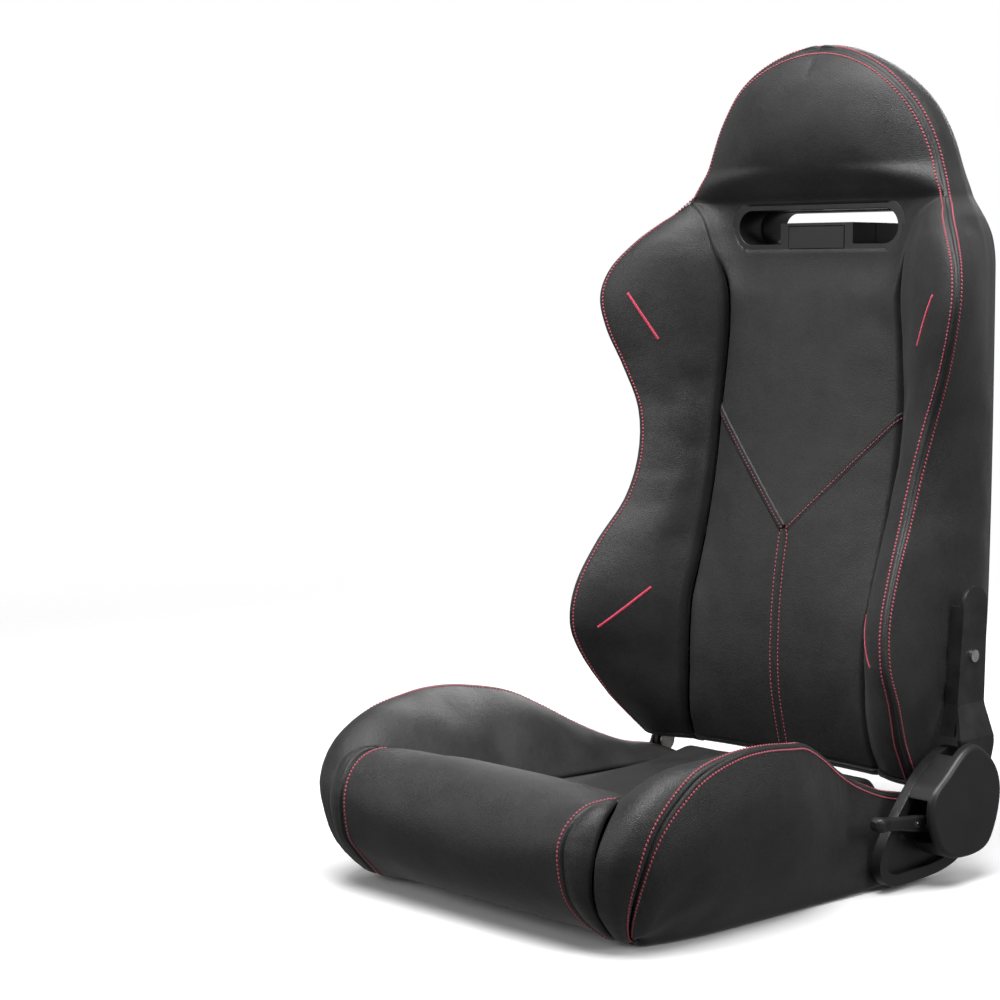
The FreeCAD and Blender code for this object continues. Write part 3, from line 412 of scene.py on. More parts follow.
def surface_tree(grid):
    points, faces = weld([grid])
    return BVHTree.FromPolygons([Vector(p) for p in points], faces)


# ---------------------------------------------------------------- materials
def nodes_of(name, **values):
    """New Principled material and a maker of linked nodes."""
    material = bpy.data.materials.new(name)
    material.use_nodes = True
    tree = material.node_tree
    shader = tree.nodes["Principled BSDF"]
    for key, value in values.items():
        shader.inputs[key.replace("_", " ")].default_value = value
    place = tree.nodes.new("ShaderNodeTexCoord").outputs["Object"]

    def add(kind, inputs=(), **settings):
        node = tree.nodes.new(kind)
        for key, value in settings.items():
            setattr(node, key, value)
        for socket, value in dict(inputs).items():
            if isinstance(value, bpy.types.NodeSocket):
                tree.links.new(value, node.inputs[socket])
            else:
                node.inputs[socket].default_value = value
        return node
    return material, shader, place, add


def noise(add, place, scale, detail=3.0, rough=0.55):
    return add("ShaderNodeTexNoise", {"Vector": place, "Scale": scale, "Detail": detail,
                                      "Roughness": rough}).outputs["Fac"]


def ramp(add, value, stops):
    """Colour ramp from (place, colour) stops."""
    node = add("ShaderNodeValToRGB", {"Fac": value})
    elements = node.color_ramp.elements
    while len(elements) < len(stops):
        elements.new(0.5)
    for element, (spot, colour) in zip(elements, stops):
        element.position = spot
        element.color = (*colour, 1.0)
    return node.outputs["Color"]


def bump(add, height, strength, depth_mm, base=None):
    inputs = {"Height": height, "Strength": strength, "Distance": depth_mm * MM}
    if base is not None:
        inputs["Normal"] = base
    return add("ShaderNodeBump", inputs).outputs["Normal"]


def link(material, source, socket):
    material.node_tree.links.new(source, socket)


def leather(name, dark, light, rough):
    """Fine-grained synthetic leather: pebble cells with painted shade in the grooves between them, pores and soft
    uneven patches.
    """
    material, shader, place, add = nodes_of(name, Specular_IOR_Level=0.38, Sheen_Weight=0.05,
                                            Sheen_Roughness=0.4)
    cells = add("ShaderNodeTexVoronoi", {"Vector": place, "Scale": 520.0, "Randomness": 1.0},
                feature="DISTANCE_TO_EDGE").outputs["Distance"]
    cells = add("ShaderNodeMapRange", {"Value": cells, "From Min": 0.0, "From Max": 0.32}).outputs[0]
    pores = noise(add, place, 1900.0, 2.0)
    patches = noise(add, place, 26.0, 4.0, 0.6)
    soft = noise(add, place, 75.0, 3.0)
    first = bump(add, soft, 0.40, 1.0)
    second = bump(add, cells, 0.60, 0.30, first)
    third = bump(add, pores, 0.35, 0.12, second)
    link(material, third, shader.inputs["Normal"])
    tone = ramp(add, patches, ((0.3, dark), (0.7, light)))
    # painted shade: the grooves between the pebble cells are darkened to 55 % of the tone
    crease = ramp(add, cells, ((0.0, (0.55, 0.55, 0.55)), (0.5, (1.0, 1.0, 1.0))))
    mix = add("ShaderNodeMix", {0: 1.0}, data_type="RGBA", blend_type="MULTIPLY")
    link(material, tone, mix.inputs[6])
    link(material, crease, mix.inputs[7])
    link(material, mix.outputs[2], shader.inputs["Base Color"])
    shine = add("ShaderNodeMapRange", {"Value": patches, "To Min": rough - 0.05, "To Max": rough + 0.07})
    link(material, shine.outputs[0], shader.inputs["Roughness"])
    return material


def thread_material(name, dark, light):
    """Twisted polyester thread, with painted shade in the grooves of its twist and lighter colour on its crests."""
    material, shader, place, add = nodes_of(name, Specular_IOR_Level=0.55, Sheen_Weight=0.3)
    ply = add("ShaderNodeTexWave", {"Vector": place, "Scale": 420.0, "Distortion": 2.0},
              bands_direction="DIAGONAL").outputs["Fac"]
    fuzz = noise(add, place, 2500.0)
    # painted shade and highlight: the ply wave that raises the bump also colours its grooves dark and its crests light
    link(material, ramp(add, ply, ((0.1, dark), (0.8, light))), shader.inputs["Base Color"])
    link(material, bump(add, ply, 0.5, 0.15, bump(add, fuzz, 0.3, 0.08)), shader.inputs["Normal"])
    shine = add("ShaderNodeMapRange", {"Value": fuzz, "To Min": 0.45, "To Max": 0.75})
    link(material, shine.outputs[0], shader.inputs["Roughness"])
    return material


def plastic(name, dark, light, rough, grain=1500.0, depth=0.05):
    """Moulded plastic with a fine spark-eroded texture and slight handling wear."""
    material, shader, place, add = nodes_of(name, Specular_IOR_Level=0.5)
    spark = noise(add, place, grain, 3.0)
    haze = noise(add, place, 22.0, 4.0)
    link(material, ramp(add, haze, ((0.3, dark), (0.75, light))), shader.inputs["Base Color"])
    link(material, bump(add, spark, 0.35, depth), shader.inputs["Normal"])
    shine = add("ShaderNodeMapRange", {"Value": haze, "To Min": rough - 0.06, "To Max": rough + 0.08})
    link(material, shine.outputs[0], shader.inputs["Roughness"])
    return material


def metal(name, dark, light, rough, streak=(900.0, 60.0, 60.0), depth=0.03):
    """Bare or plated steel with drawing marks."""
    material, shader, place, add = nodes_of(name, Metallic=1.0)
    stretched = add("ShaderNodeMapping", {"Vector": place, "Scale": streak}).outputs[0]
    marks = noise(add, stretched, 1.0, 4.0)
    spots = noise(add, place, 140.0, 5.0)
    link(material, ramp(add, spots, ((0.35, dark), (0.65, light))), shader.inputs["Base Color"])
    link(material, bump(add, marks, 0.25, depth), shader.inputs["Normal"])
    shine = add("ShaderNodeMapRange", {"Value": spots, "To Min": rough - 0.08, "To Max": rough + 0.1})
    link(material, shine.outputs[0], shader.inputs["Roughness"])
    return material


def paint(name, dark, light, rough):
    """Powder coat: orange peel and rubbed, slightly paler patches."""
    material, shader, place, add = nodes_of(name, Specular_IOR_Level=0.5)
    peel = noise(add, place, 420.0, 2.0)
    dust = noise(add, place, 35.0, 5.0)
    worn = ramp(add, dust, ((0.35, dark), (0.8, light)))
    link(material, worn, shader.inputs["Base Color"])
    link(material, bump(add, peel, 0.25, 0.12), shader.inputs["Normal"])
    shine = add("ShaderNodeMapRange", {"Value": dust, "To Min": rough - 0.05, "To Max": rough + 0.1})
    link(material, shine.outputs[0], shader.inputs["Roughness"])
    return material


def foam_material():
    """Open-cell moulded foam."""
    material, shader, place, add = nodes_of("foam", Roughness=0.95, Specular_IOR_Level=0.2)
    cells = add("ShaderNodeTexVoronoi", {"Vector": place, "Scale": 420.0}).outputs["Distance"]
    tint = noise(add, place, 30.0)
    link(material, ramp(add, tint, ((0.3, (0.03, 0.03, 0.032)), (0.7, (0.055, 0.055, 0.056)))),
         shader.inputs["Base Color"])
    link(material, bump(add, cells, 0.8, 0.7), shader.inputs["Normal"])
    return material


LEATHER = leather("leather_black", (0.020, 0.020, 0.0205), (0.030, 0.030, 0.0305), 0.44)
THREAD = thread_material("thread_crimson", (0.20, 0.014, 0.032), (0.44, 0.07, 0.11))
SATIN = thread_material("thread_satin", (0.50, 0.018, 0.06), (0.78, 0.06, 0.14))
FOAM = foam_material()
CAD_MATERIALS = {
    "frame_paint": paint("paint_frame", (0.009, 0.009, 0.010), (0.018, 0.018, 0.018), 0.62),
    "arm_paint": paint("paint_arm", (0.012, 0.012, 0.013), (0.03, 0.03, 0.031), 0.34),
    "spring_steel": metal("steel_spring", (0.10, 0.10, 0.105), (0.2, 0.2, 0.2), 0.42),
    "gear_steel": metal("steel_gear", (0.28, 0.27, 0.25), (0.45, 0.44, 0.42), 0.38),
    "bright_screws": metal("zinc_bright", (0.62, 0.62, 0.64), (0.85, 0.85, 0.86), 0.25),
    "cover_plastic": plastic("plastic_cover", (0.012, 0.012, 0.013), (0.018, 0.018, 0.019), 0.40),
    "bezel_plastic": plastic("plastic_bezel", (0.008, 0.008, 0.009), (0.013, 0.013, 0.013), 0.36, 1800.0),
}


ROUNDED_SLOTS = {"arm_paint": 0.7, "cover_plastic": 1.0, "bezel_plastic": 0.8}    # edge radii


def round_edges(obj, radius):
    """Small rounds on the sharp edges of a part that is moulded or tumbled."""
    merge = obj.modifiers.new("merge", "WELD")
    merge.merge_threshold = 0.01 * MM
    bevel = obj.modifiers.new("rounds", "BEVEL")
    bevel.width = radius * MM
    bevel.segments = 3
    bevel.limit_method = "ANGLE"
    bevel.angle_limit = math.radians(38.0)
    bevel.use_clamp_overlap = True
    bevel.harden_normals = True


def dress_frame():
    """Better materials on every CAD node that stays in view."""
    for entry in frame["record"]["subparts"]:
        material = CAD_MATERIALS.get(entry["material_slot"])
        if material is None:
            continue
        obj = frame["nodes"][entry["node"]]
        obj.data.materials.clear()
        obj.data.materials.append(material)
        if entry["material_slot"] in ROUNDED_SLOTS:
            round_edges(obj, ROUNDED_SLOTS[entry["material_slot"]])


# ---------------------------------------------------------------- backrest
BACK_CORE = (0.0, 900.0, 480.0)


def back_rows():
    """Backrest seam points from the base to the top, the crease points beside the lower ones, and their count."""
    z = np.concatenate([np.arange(BASE_Z, 728.0, STEP), np.linspace(728.0, TIP_Z, 18)])
    xy = at(BACK_SEAM, z)
    lower = np.column_stack([xy, z])
    crease = np.column_stack([at(BACK_CREASE, z), z])
    turn = np.linspace(HEAD_POLAR[0][0], 90.0, 400)
    radius, depth = at(HEAD_POLAR, turn).T
    turn = np.radians(turn)
    head = np.column_stack([radius * np.cos(turn), depth, HEAD_MIDDLE_Z + radius * np.sin(turn)])
    upper = resample(head, np.linspace(0, lengths(head)[-1], round(lengths(head)[-1] / STEP) + 1))
    return np.concatenate([lower, upper[1:]]), crease, len(z)


SEAM, CREASE, LOWER = back_rows()
OUTLINE = np.concatenate([CREASE, SEAM[LOWER:]])        # edge of the centre panel and head


def slot_distance(x, z, grow=0.0):
    """Signed distance from the harness opening's outline, and the nearest point on its spine."""
    r = SLOT_HEIGHT / 2 + grow
    straight = SLOT_HALF - SLOT_HEIGHT / 2
    near = np.clip(x, -straight, straight)
    return np.hypot(x - near, z - SLOT_Z) - r, near


def snap_to_slot(grid, grow):
    """Moves the grid points that are next to the opening's outline onto it."""
    x, z = grid[..., 0], grid[..., 2]
    d, near = slot_distance(x, z, grow)
    size = np.maximum(np.hypot(x - near, z - SLOT_Z), 1e-6)
    move = np.where(np.abs(d) < STEP * 0.55, -d, 0.0) / size
    out = grid.copy()
    out[..., 0] += (x - near) * move
    out[..., 2] += (z - SLOT_Z) * move
    return out


def fan(outline, spine_top, depth, bend_from=780.0):
    """Grid from the left outline to the centre line, mirrored to the right outline."""
    z = outline[:, 2]
    room = spine_top - bend_from
    over = np.maximum(z - bend_from, 0)
    spine = np.minimum(z, bend_from) + room * (1 - np.exp(-over / room))
    widest = outline[:, 0].max()
    rows = []
    for (x, _, top), middle in zip(outline, spine):
        length = math.hypot(x, top - middle)
        s = columns(length, widest) / length
        rows.append(np.column_stack([x * (1 - s), top + (middle - top) * s]))
    flat = np.array(rows)
    flat[:, -1, 0] = 0.0
    half = np.stack([flat[..., 0], depth(flat[..., 0], flat[..., 1]), flat[..., 1]], axis=-1)
    return np.concatenate([half, (half * FLIP)[:, -2::-1]], axis=1)


def outline_keys(outline):
    """Edge half-width and depth against height, with heights strictly rising."""
    order = np.unique(np.round(outline[:, 2], 3), return_index=True)[1]
    keep = outline[order]
    return keep[:, 2], keep[:, 0], keep[:, 1]


def centre_depth(x, z):
    """Depth of the centre panel: nearly flat, rising to its edges, and flush around the opening."""
    edge_z, edge_x, edge_y = outline_keys(OUTLINE)
    half = np.maximum(np.interp(z, edge_z, edge_x), 1e-3)
    edge = np.interp(z, edge_z, edge_y)
    middle = at(CENTRE_LINE, z.ravel())[:, 0].reshape(z.shape)
    u = np.clip(np.abs(x) / half, 0, 1)
    flush = smoothstep((z - 655) / 45) * smoothstep((812 - z) / 34)
    power = 2.5 + 11.0 * flush
    return middle + (edge - middle) * u**power


def centre_panel():
    grid = fan(OUTLINE, 872.0, centre_depth)
    grid = inflate(grid, BACK_CORE, 4.0, held=[OUTLINE, OUTLINE * FLIP, grid[0], slot_ring(8.0)])
    for side in (1.0, FLIP):
        grid = tuck_crease(grid * side, BACK_CORE, (0.0, 1.0, 0.0)) * side
        grid = tuck(grid, SEAM[LOWER - 1:] * side, BACK_CORE)
    grid = tuck(grid, grid[:, grid.shape[1] // 2][centre_seam_rows(grid)], BACK_CORE, 1.6, 1.2, 0.3)
    return snap_to_slot(grid, -6.0)


def centre_seam_rows(grid):
    """Rows of the seam that runs from the fork of the Y to the base."""
    return grid[:, grid.shape[1] // 2, 2] < FORK_Z


def slot_ring(grow):
    """Points round the harness opening, on the panel."""
    r = SLOT_HEIGHT / 2 + grow
    straight = SLOT_HALF - SLOT_HEIGHT / 2
    turn = np.radians(np.arange(0, 361, 6))
    x = np.cos(turn) * r + np.sign(np.round(np.cos(turn), 6)) * straight
    return np.column_stack([x, np.full(len(turn), 311.0), SLOT_Z + np.sin(turn) * r])


FORK_Z, ARM_END = 383.0, (142.0, 522.0)        # the Y of stitching: fork height, and where its arms end


def row_between(start, stop, spots, swell, out):
    """Row of points from start to stop that swells out along out by swell(s)."""
    s = spots / spots[-1]
    return start + (stop - start) * s[:, None] + out * swell(s)[:, None]


def bolster_panel():
    """Left bolster flank, from the crease to the seam."""
    widest = np.linalg.norm(SEAM[:LOWER] - CREASE, axis=1).max()
    rows = []
    for seam, crease in zip(SEAM[:LOWER], CREASE):
        chord = crease - seam
        length = max(np.linalg.norm(chord), 0.05)
        normal = np.array([chord[1], -chord[0], 0.0]) / length
        if normal[1] > 0:
            normal = -normal
        size = 11.5 * min(1.0, length / 100.0)
        spots = columns(length, widest)
        rows.append(row_between(seam, crease, spots, lambda s: size * swell_shape(s), normal))
    grid = np.array(rows)
    core = (260.0, 420.0, 450.0)
    grid = inflate(grid, core, 4.0)
    grid = pucker(grid, 0, core, 0.3, 17.0, 20.0)
    grid = tuck(grid, SEAM[:LOWER], core)
    return tuck_crease(grid, core, (0.3, 0.95, 0.0))


def swell_shape(s):
    """Full beside the seam (s = 0), slightly hollow beside the crease."""
    return np.sin(math.pi * np.clip(s, 0, 1) ** 0.62) - 0.22 * smoothstep((s - 0.55) / 0.3) * (1 - s) * 4 * s


def rear_edge():
    """Left rear edge of the backrest, one point for each seam point."""
    z = SEAM[:, 2]
    narrow = smoothstep((z - 752.0) / 40.0)
    x = at(REAR_WIDTH, z)[:, 0] * (1 - narrow) + 0.86 * SEAM[:, 0] * narrow
    lift = 12.0 * (np.maximum(0, z - 822.0) / 128.0) ** 2
    return np.column_stack([x, at(REAR_DEPTH, z)[:, 0], z - lift])


REAR_EDGE = rear_edge()


def side_row(seam, rear, outward):
    """Line round the side of the backrest, from the seam to the rear edge."""
    head = smoothstep((seam[2] - 700.0) / 100.0)
    full = smoothstep((seam[2] - 345.0) / 55.0)
    crown = smoothstep((seam[2] - 880.0) / 70.0)
    corner = rear + outward * (21.0 - 7.0 * head) * (1.0 - 0.4 * crown)
    corner[1] = 345.0 + (rear[1] - 28.0 - 345.0) * head
    corner[0] = min(corner[0], 224.0)
    first = seam + (corner - seam) * (0.30, 0.35, 0.30) + outward * 5.0 * full
    second = seam + (corner - seam) * 0.72 + outward * 5.0 * full
    return route([seam, first, second, corner, rear], 1.0)


def side_panel():
    """Side of the backrest from the left base, over the top, to the right base."""
    tangent = np.gradient(SEAM, axis=0)
    tangent[:, 1] = 0
    tangent /= np.linalg.norm(tangent, axis=1, keepdims=True)
    around = np.column_stack([tangent[:, 2], np.zeros(len(SEAM)), -tangent[:, 0]])
    upper = smoothstep((SEAM[:, 2] - 800.0) / 70.0)[:, None]
    outward = around * upper + np.array([1.0, 0.0, 0.0]) * (1 - upper)
    outward /= np.linalg.norm(outward, axis=1, keepdims=True)
    lines = [side_row(s, r, o) for s, r, o in zip(SEAM, REAR_EDGE, outward)]
    widest = max(lengths(line)[-1] for line in lines)
    half = np.array([resample(line, columns(lengths(line)[-1], widest, True, True)) for line in lines])
    half[-1, :, 0] = 0.0
    grid = np.concatenate([half, (half * FLIP)[-2::-1]])
    core = (0.0, 320.0, 450.0)
    grid = inflate(grid, core, 2.5, 3.0)
    for line in (np.concatenate([SEAM, (SEAM * FLIP)[-2::-1]]),
                 np.concatenate([REAR_EDGE, (REAR_EDGE * FLIP)[-2::-1]])):
        grid = tuck(grid, line, core)
    return grid


def rear_panel():
    """Back of the backrest, slightly crowned, with the harness opening."""
    edge_z, edge_x, edge_y = outline_keys(REAR_EDGE)

    def depth(x, z):
        half = np.maximum(np.interp(z, edge_z, edge_x), 1e-3)
        u = np.clip(np.abs(x) / half, 0, 1)
        return np.interp(z, edge_z, edge_y) + 3.5 * (1 - u**3) * smoothstep(half / 60)
    grid = fan(REAR_EDGE, 862.0, depth)
    core = (0.0, 0.0, 480.0)
    ring = slot_ring(8.0)
    ring[:, 1] = 393.0
    grid = inflate(grid, core, 2.5, 3.0, held=[REAR_EDGE, REAR_EDGE * FLIP, grid[0], ring])
    for side in (1.0, FLIP):
        grid = tuck(grid, REAR_EDGE * side, core)
    return snap_to_slot(grid, -6.0)


def base_panel(front, side, rear):
    """Underside of the backrest, from its front outline to its rear outline."""
    loop = np.concatenate([front, side, rear])
    middle = np.column_stack([loop[:, 0] * 0.86, np.full(len(loop), 306.0), np.full(len(loop), BASE_Z - 1.0)])
    share = np.concatenate([[0.0, 0.02, 0.05, 0.09, 0.15], np.linspace(0.25, 1.0, 10)])
    grid = loop[:, None] + (middle - loop)[:, None] * share[None, :, None]
    sag = 5.0 * np.sin(math.pi * np.clip(share, 0, 1) ** 0.6)
    grid[..., 2] -= sag[None] + 1.5 * smoothstep(share * 8)[None]
    return grid


def build_backrest():
    centre = centre_panel()
    bolster = bolster_panel()
    side = side_panel()
    rear = rear_panel()
    inside = lambda p: slot_distance(p[:, 0], p[:, 2], -6.0)[0] < 0.05
    cover("back_center_cover", [centre], BACK_CORE, LEATHER, "backrest", ("back_center_pad", "headrest_pad"),
          drop=lambda p: inside(p) & (p[:, 1] > 290))
    for name, mirror in (("left", 1.0), ("right", FLIP)):
        cover(f"back_bolster_cover_{name}", [bolster * mirror], np.array((260.0, 420.0, 450.0)) * mirror,
              LEATHER, "backrest", (f"back_bolster_{name}",))
    cover("back_side_cover", [side], (0.0, 320.0, 450.0), LEATHER, "backrest")
    cover("back_rear_cover", [rear], (0.0, 0.0, 480.0), LEATHER, "backrest", ("back_rear_panel",),
          drop=inside)
    count = len(SEAM)
    left_base = np.concatenate([bolster[0][::-1], side[0]])
    front = centre[0][::-1]
    half = centre.shape[1] // 2
    right_half = front[half:]
    loop_left = [right_half, bolster[0][::-1], side[0], rear[0][:rear.shape[1] // 2 + 1]]
    loop = np.concatenate([p if p[0][0] >= 0 else p * FLIP for p in loop_left])
    panels = [base_panel(loop, loop[:0], loop[:0])]
    panels.append(panels[0] * FLIP)
    cover("back_base_cover", panels, (0.0, 300.0, 400.0), LEATHER, "backrest")
    stitch_backrest(centre, bolster, side)


def stitch_backrest(centre, bolster, side):
    """Double rows along the main seam, the Y on the centre panel, and the four tick bars."""
    half = centre.shape[1] // 2
    rows = []
    joined = LOWER - 6
    flank = bolster[:joined, ROW_COLUMN]
    flank_out = normals(bolster, (260.0, 420.0, 450.0))[:joined, ROW_COLUMN]
    head = centre[LOWER + 1:, ROW_COLUMN]
    head_out = normals(centre, BACK_CORE)[LOWER + 1:, ROW_COLUMN]
    inner = np.concatenate([flank, head])
    inner_out = np.concatenate([flank_out, head_out])
    inner_path = np.concatenate([inner, (inner * FLIP)[::-1]])
    rows.append((inner_path, np.concatenate([inner_out, (inner_out * FLIP)[::-1]])))
    rows.append((side[:, ROW_COLUMN], normals(side, (0.0, 320.0, 450.0))[:, ROW_COLUMN]))
    thread_object("back_seam_stitches", rows, THREAD, "backrest")

    tree = surface_tree(centre)
    front = (0.0, 1.0, 0.0)
    rows = []
    z = np.arange(FORK_Z - 4.0, BASE_Z + 3.0, -2.0)
    for x in (-6.0, 6.0):
        rows.append(onto(tree, [(x * min(1.0, 0.25 + (FORK_Z - h) / 14.0), 230.0, h) for h in z], front))
    laps = []
    for sign in (-1.0, 1.0):
        s = np.linspace(0.0, 1.0, 90)
        x, height = s * (ARM_END[0] - 3.0) * sign, FORK_Z + s * (ARM_END[1] - FORK_Z)
        path, out = onto(tree, np.column_stack([x, x * 0 + 230.0, height]), front)
        across = np.array([0.70 * sign, 0.0, -0.71])
        hit, normal = onto(tree, (path + across * 4.4) * (1.0, 0.0, 1.0) + (0.0, 230.0, 0.0), front)
        rows.append((hit + normal * 0.75, normal))
        laps.append(lap_grid(tree, path, across))
    thread_object("back_y_stitches", rows, THREAD, "backrest", radius=0.8, pitch=4.9, length=4.0)
    points, faces = weld(laps)
    obj = mesh_object("back_y_fold", points, face_out(points, faces, BACK_CORE), LEATHER)
    obj.modifiers.new("thickness", "SOLIDIFY").thickness = 0.8 * MM
    obj.modifiers["thickness"].offset = -1.0
    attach(obj, "backrest")

    tree = surface_tree(bolster)
    rows = []
    for start, stop in (((229, 216, 660), (195, 240, 602)), ((209, 151, 247), (171, 205, 297))):
        s = np.linspace(0, 1, 40)[:, None]
        path = np.array(start, float) * (1 - s) + np.array(stop, float) * s
        near = [tree.find_nearest(Vector(p)) for p in path]
        hit = np.array([n[0] for n in near])
        out = np.array([n[1] if n[1].y < 0 else -n[1] for n in near])
        rows.append((hit, out))
    rows += [(p * FLIP, o * FLIP) for p, o in rows]
    points, faces = [], []
    for path, out in rows:
        p, f = satin_bar(path, out)
        faces += [[v + len(points) for v in face] for face in f]
        points += p
    obj = mesh_object("back_tick_bars", points, faces, SATIN)
    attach(obj, "backrest")


def lap_grid(tree, path, across):
    """Thin turned-under edge of leather: high along path and fading out across it."""
    shape = ((-0.9, -0.3), (-0.6, 0.6), (0.0, 1.15), (0.8, 1.25), (2.0, 1.0), (4.4, 0.55), (7.0, 0.25),
             (9.5, -0.3))
    lines = []
    for reach, lift in shape:
        moved = (path + across * reach) * (1.0, 0.0, 1.0) + (0.0, 230.0, 0.0)
        hit, out = onto(tree, moved, (0.0, 1.0, 0.0))
        lines.append(hit + out * lift)
    return np.array(lines)


def satin_bar(path, out, width=3.7, pitch=0.85, radius=0.62):
    """Bar of close threads laid across a line."""
    run = lengths(path)
    points, faces = [], []
    for place in np.arange(0, run[-1], pitch):
        spot = resample(path, [place])[0]
        ahead = resample(path, [min(place + 1.0, run[-1])])[0] - resample(path, [max(place - 1.0, 0)])[0]
        ahead /= np.linalg.norm(ahead)
        normal = nearest_normal(path, out, run, place)
        side = np.cross(normal, ahead)
        ends = np.array([spot - side * width / 2, spot + side * width / 2])
        p, f = beads(ends, np.array([normal, normal]), width, width, radius, 0.12)
        faces += [[v + len(points) for v in face] for face in f]
        points += p
    return points, faces


# ---------------------------------------------------------------- cushion
SIDE_CORE = (60.0, 0.0, 40.0)
CUSHION_MIDDLE = (0.0, -40.0, -60.0)


def paired(keys, count):
    """Smooth line through keys at count even steps of key number."""
    keys = np.array(keys, float)
    return at(np.column_stack([np.arange(len(keys)), keys]), np.linspace(0, len(keys) - 1, count))


def even_keys(driver, others, step):
    """Lines through paired keys, evenly spaced along the driver line."""
    fine = paired(driver, 1200)
    run = lengths(fine)
    places = np.interp(np.linspace(0, run[-1], round(run[-1] / step) + 1), run, np.linspace(0, 1, 1200))
    result = []
    for keys in (driver, *others):
        keys = np.array(keys, float)
        t = places * (len(keys) - 1)
        result.append(at(np.column_stack([np.arange(len(keys)), keys]), t))
    return result


CUSHION_EDGE, CUSHION_VALLEY, CUSHION_LOW = even_keys(CUSHION_SEAM, (CUSHION_CREASE, CUSHION_HEM), STEP)


def bolster_top():
    """Left cushion bolster, from the seam over the crown to the crease."""
    tangent = np.gradient(CUSHION_EDGE, axis=0)
    chord = CUSHION_VALLEY - CUSHION_EDGE
    size = np.linalg.norm(chord, axis=1)
    normal = np.cross(tangent, chord)
    normal /= np.linalg.norm(normal, axis=1, keepdims=True)
    if np.sum(normal * (CUSHION_EDGE - (150.0, 0.0, 0.0))) < 0:
        normal = -normal
    widest = size.max()
    share = np.linspace(0, 1, len(size))
    swell = at(((0.0, 3.0), (0.12, 8.0), (0.3, 15.0), (0.6, 15.0), (0.8, 8.0), (0.88, 6.0), (0.95, 3.5), (1.0, 2.0)),
               share)[:, 0]
    rows = []
    for edge, valley, length, out, full in zip(CUSHION_EDGE, CUSHION_VALLEY, size, normal, swell):
        spots = columns(length, widest)
        rows.append(row_between(edge, valley, spots, lambda s: full * np.sin(math.pi * s**0.8), out))
    grid = np.array(rows)
    core = (150.0, -20.0, 20.0)
    grid = inflate(grid, core, 5.0)
    grid = pucker(grid, 0, core, 0.35, 15.0, 26.0)
    grid = tuck(grid, CUSHION_EDGE, core)
    grid = tuck(grid, CUSHION_VALLEY, core, 3.0, 2.0, 0.0)
    grid[..., 2] = np.maximum(grid[..., 2], LOWEST)
    return grid


def cushion_side():
    """Left outer side of the cushion, from the seam down and under the hem."""
    lines = []
    for i, (edge, low) in enumerate(zip(CUSHION_EDGE, CUSHION_LOW)):
        share = i / (len(CUSHION_EDGE) - 1)
        height = edge[2] - low[2]
        out = np.array([1.0, -0.9 * smoothstep((0.2 - share) / 0.2), 0.0])
        out /= np.linalg.norm(out)
        puff = 0.09 * height * (1 - 0.75 * smoothstep((share - 0.60) / 0.15))
        first = edge + (low - edge) * 0.33 + out * puff
        second = edge + (low - edge) * 0.70 + out * puff * 0.9
        inward = np.array([-1.0, 0.5 * smoothstep((0.2 - share) / 0.2), 0.0])
        under = low + inward * 12.0 + (0, 0, -1.2)
        lip = low + inward * 24.0 + (0, 0, 2.0)
        lines.append(route([edge, first, second, low + (0, 0, 7.0) + out * 0.5, low + inward * 3.0, under, lip,
                            lip + inward * 2.0 + (0, 0, FOAM_Z - 6.0)], 1.0))
    widest = max(lengths(line)[-1] for line in lines)
    grid = np.array([resample(line, columns(lengths(line)[-1], widest)) for line in lines])
    grid[..., 0] = np.where(grid[..., 1] > 120.0, np.minimum(grid[..., 0], 229.0), grid[..., 0])
    grid = inflate(grid, (120.0, 0.0, 60.0), 3.0, 3.0)
    grid[..., 0] = np.where(grid[..., 1] > 124.0, np.minimum(grid[..., 0], 229.4), grid[..., 0])
    grid = pucker(grid, 0, (120.0, 0.0, 60.0), 0.25, 18.0, 24.0)
    grid = tuck(grid, CUSHION_EDGE, (120.0, 0.0, 60.0))
    grid[..., 2] = np.maximum(grid[..., 2], LOWEST)
    return grid


ROLL_CORE = (0.0, -190.0, 70.0)


def roll_panel():
    """Thigh roll across the front, with its hem turned under."""
    middle_keys = [(0.0, y, z) for y, z in ROLL_MIDDLE]
    end, middle = even_keys(ROLL_END, (middle_keys,), STEP)
    rows = []
    widest = ROLL_END[SEWN_FROM][0]
    for e, m in zip(end, middle):
        x = e[0] - columns(e[0], widest)
        u = x / e[0]
        rows.append(np.column_stack([x, m[1] + (e[1] - m[1]) * u**3, m[2] + (e[2] - m[2]) * u**3]))
    half = np.array(rows)
    half[:, -1, 0] = 0.0
    grid = np.concatenate([half, (half * FLIP)[:, -2::-1]], axis=1)
    grid = inflate(grid, ROLL_CORE, 4.0)
    share = np.linspace(0, len(ROLL_END) - 1, 1200)
    sewn = at(np.column_stack([np.arange(len(ROLL_END)), np.array(ROLL_END, float)]),
              share[(share >= SEWN_FROM) & (share <= SEWN_TO)])
    behind = at(np.column_stack([np.arange(len(ROLL_END)), np.array(ROLL_END, float)]),
                share[share <= SEWN_FROM])
    for side in (1.0, FLIP):
        grid = tuck(grid, sewn * side, ROLL_CORE)
        grid = tuck(grid, behind * side, ROLL_CORE, 6.0, 4.0, 0.0, (0.0, 0.2, -0.98))
    return grid, sewn


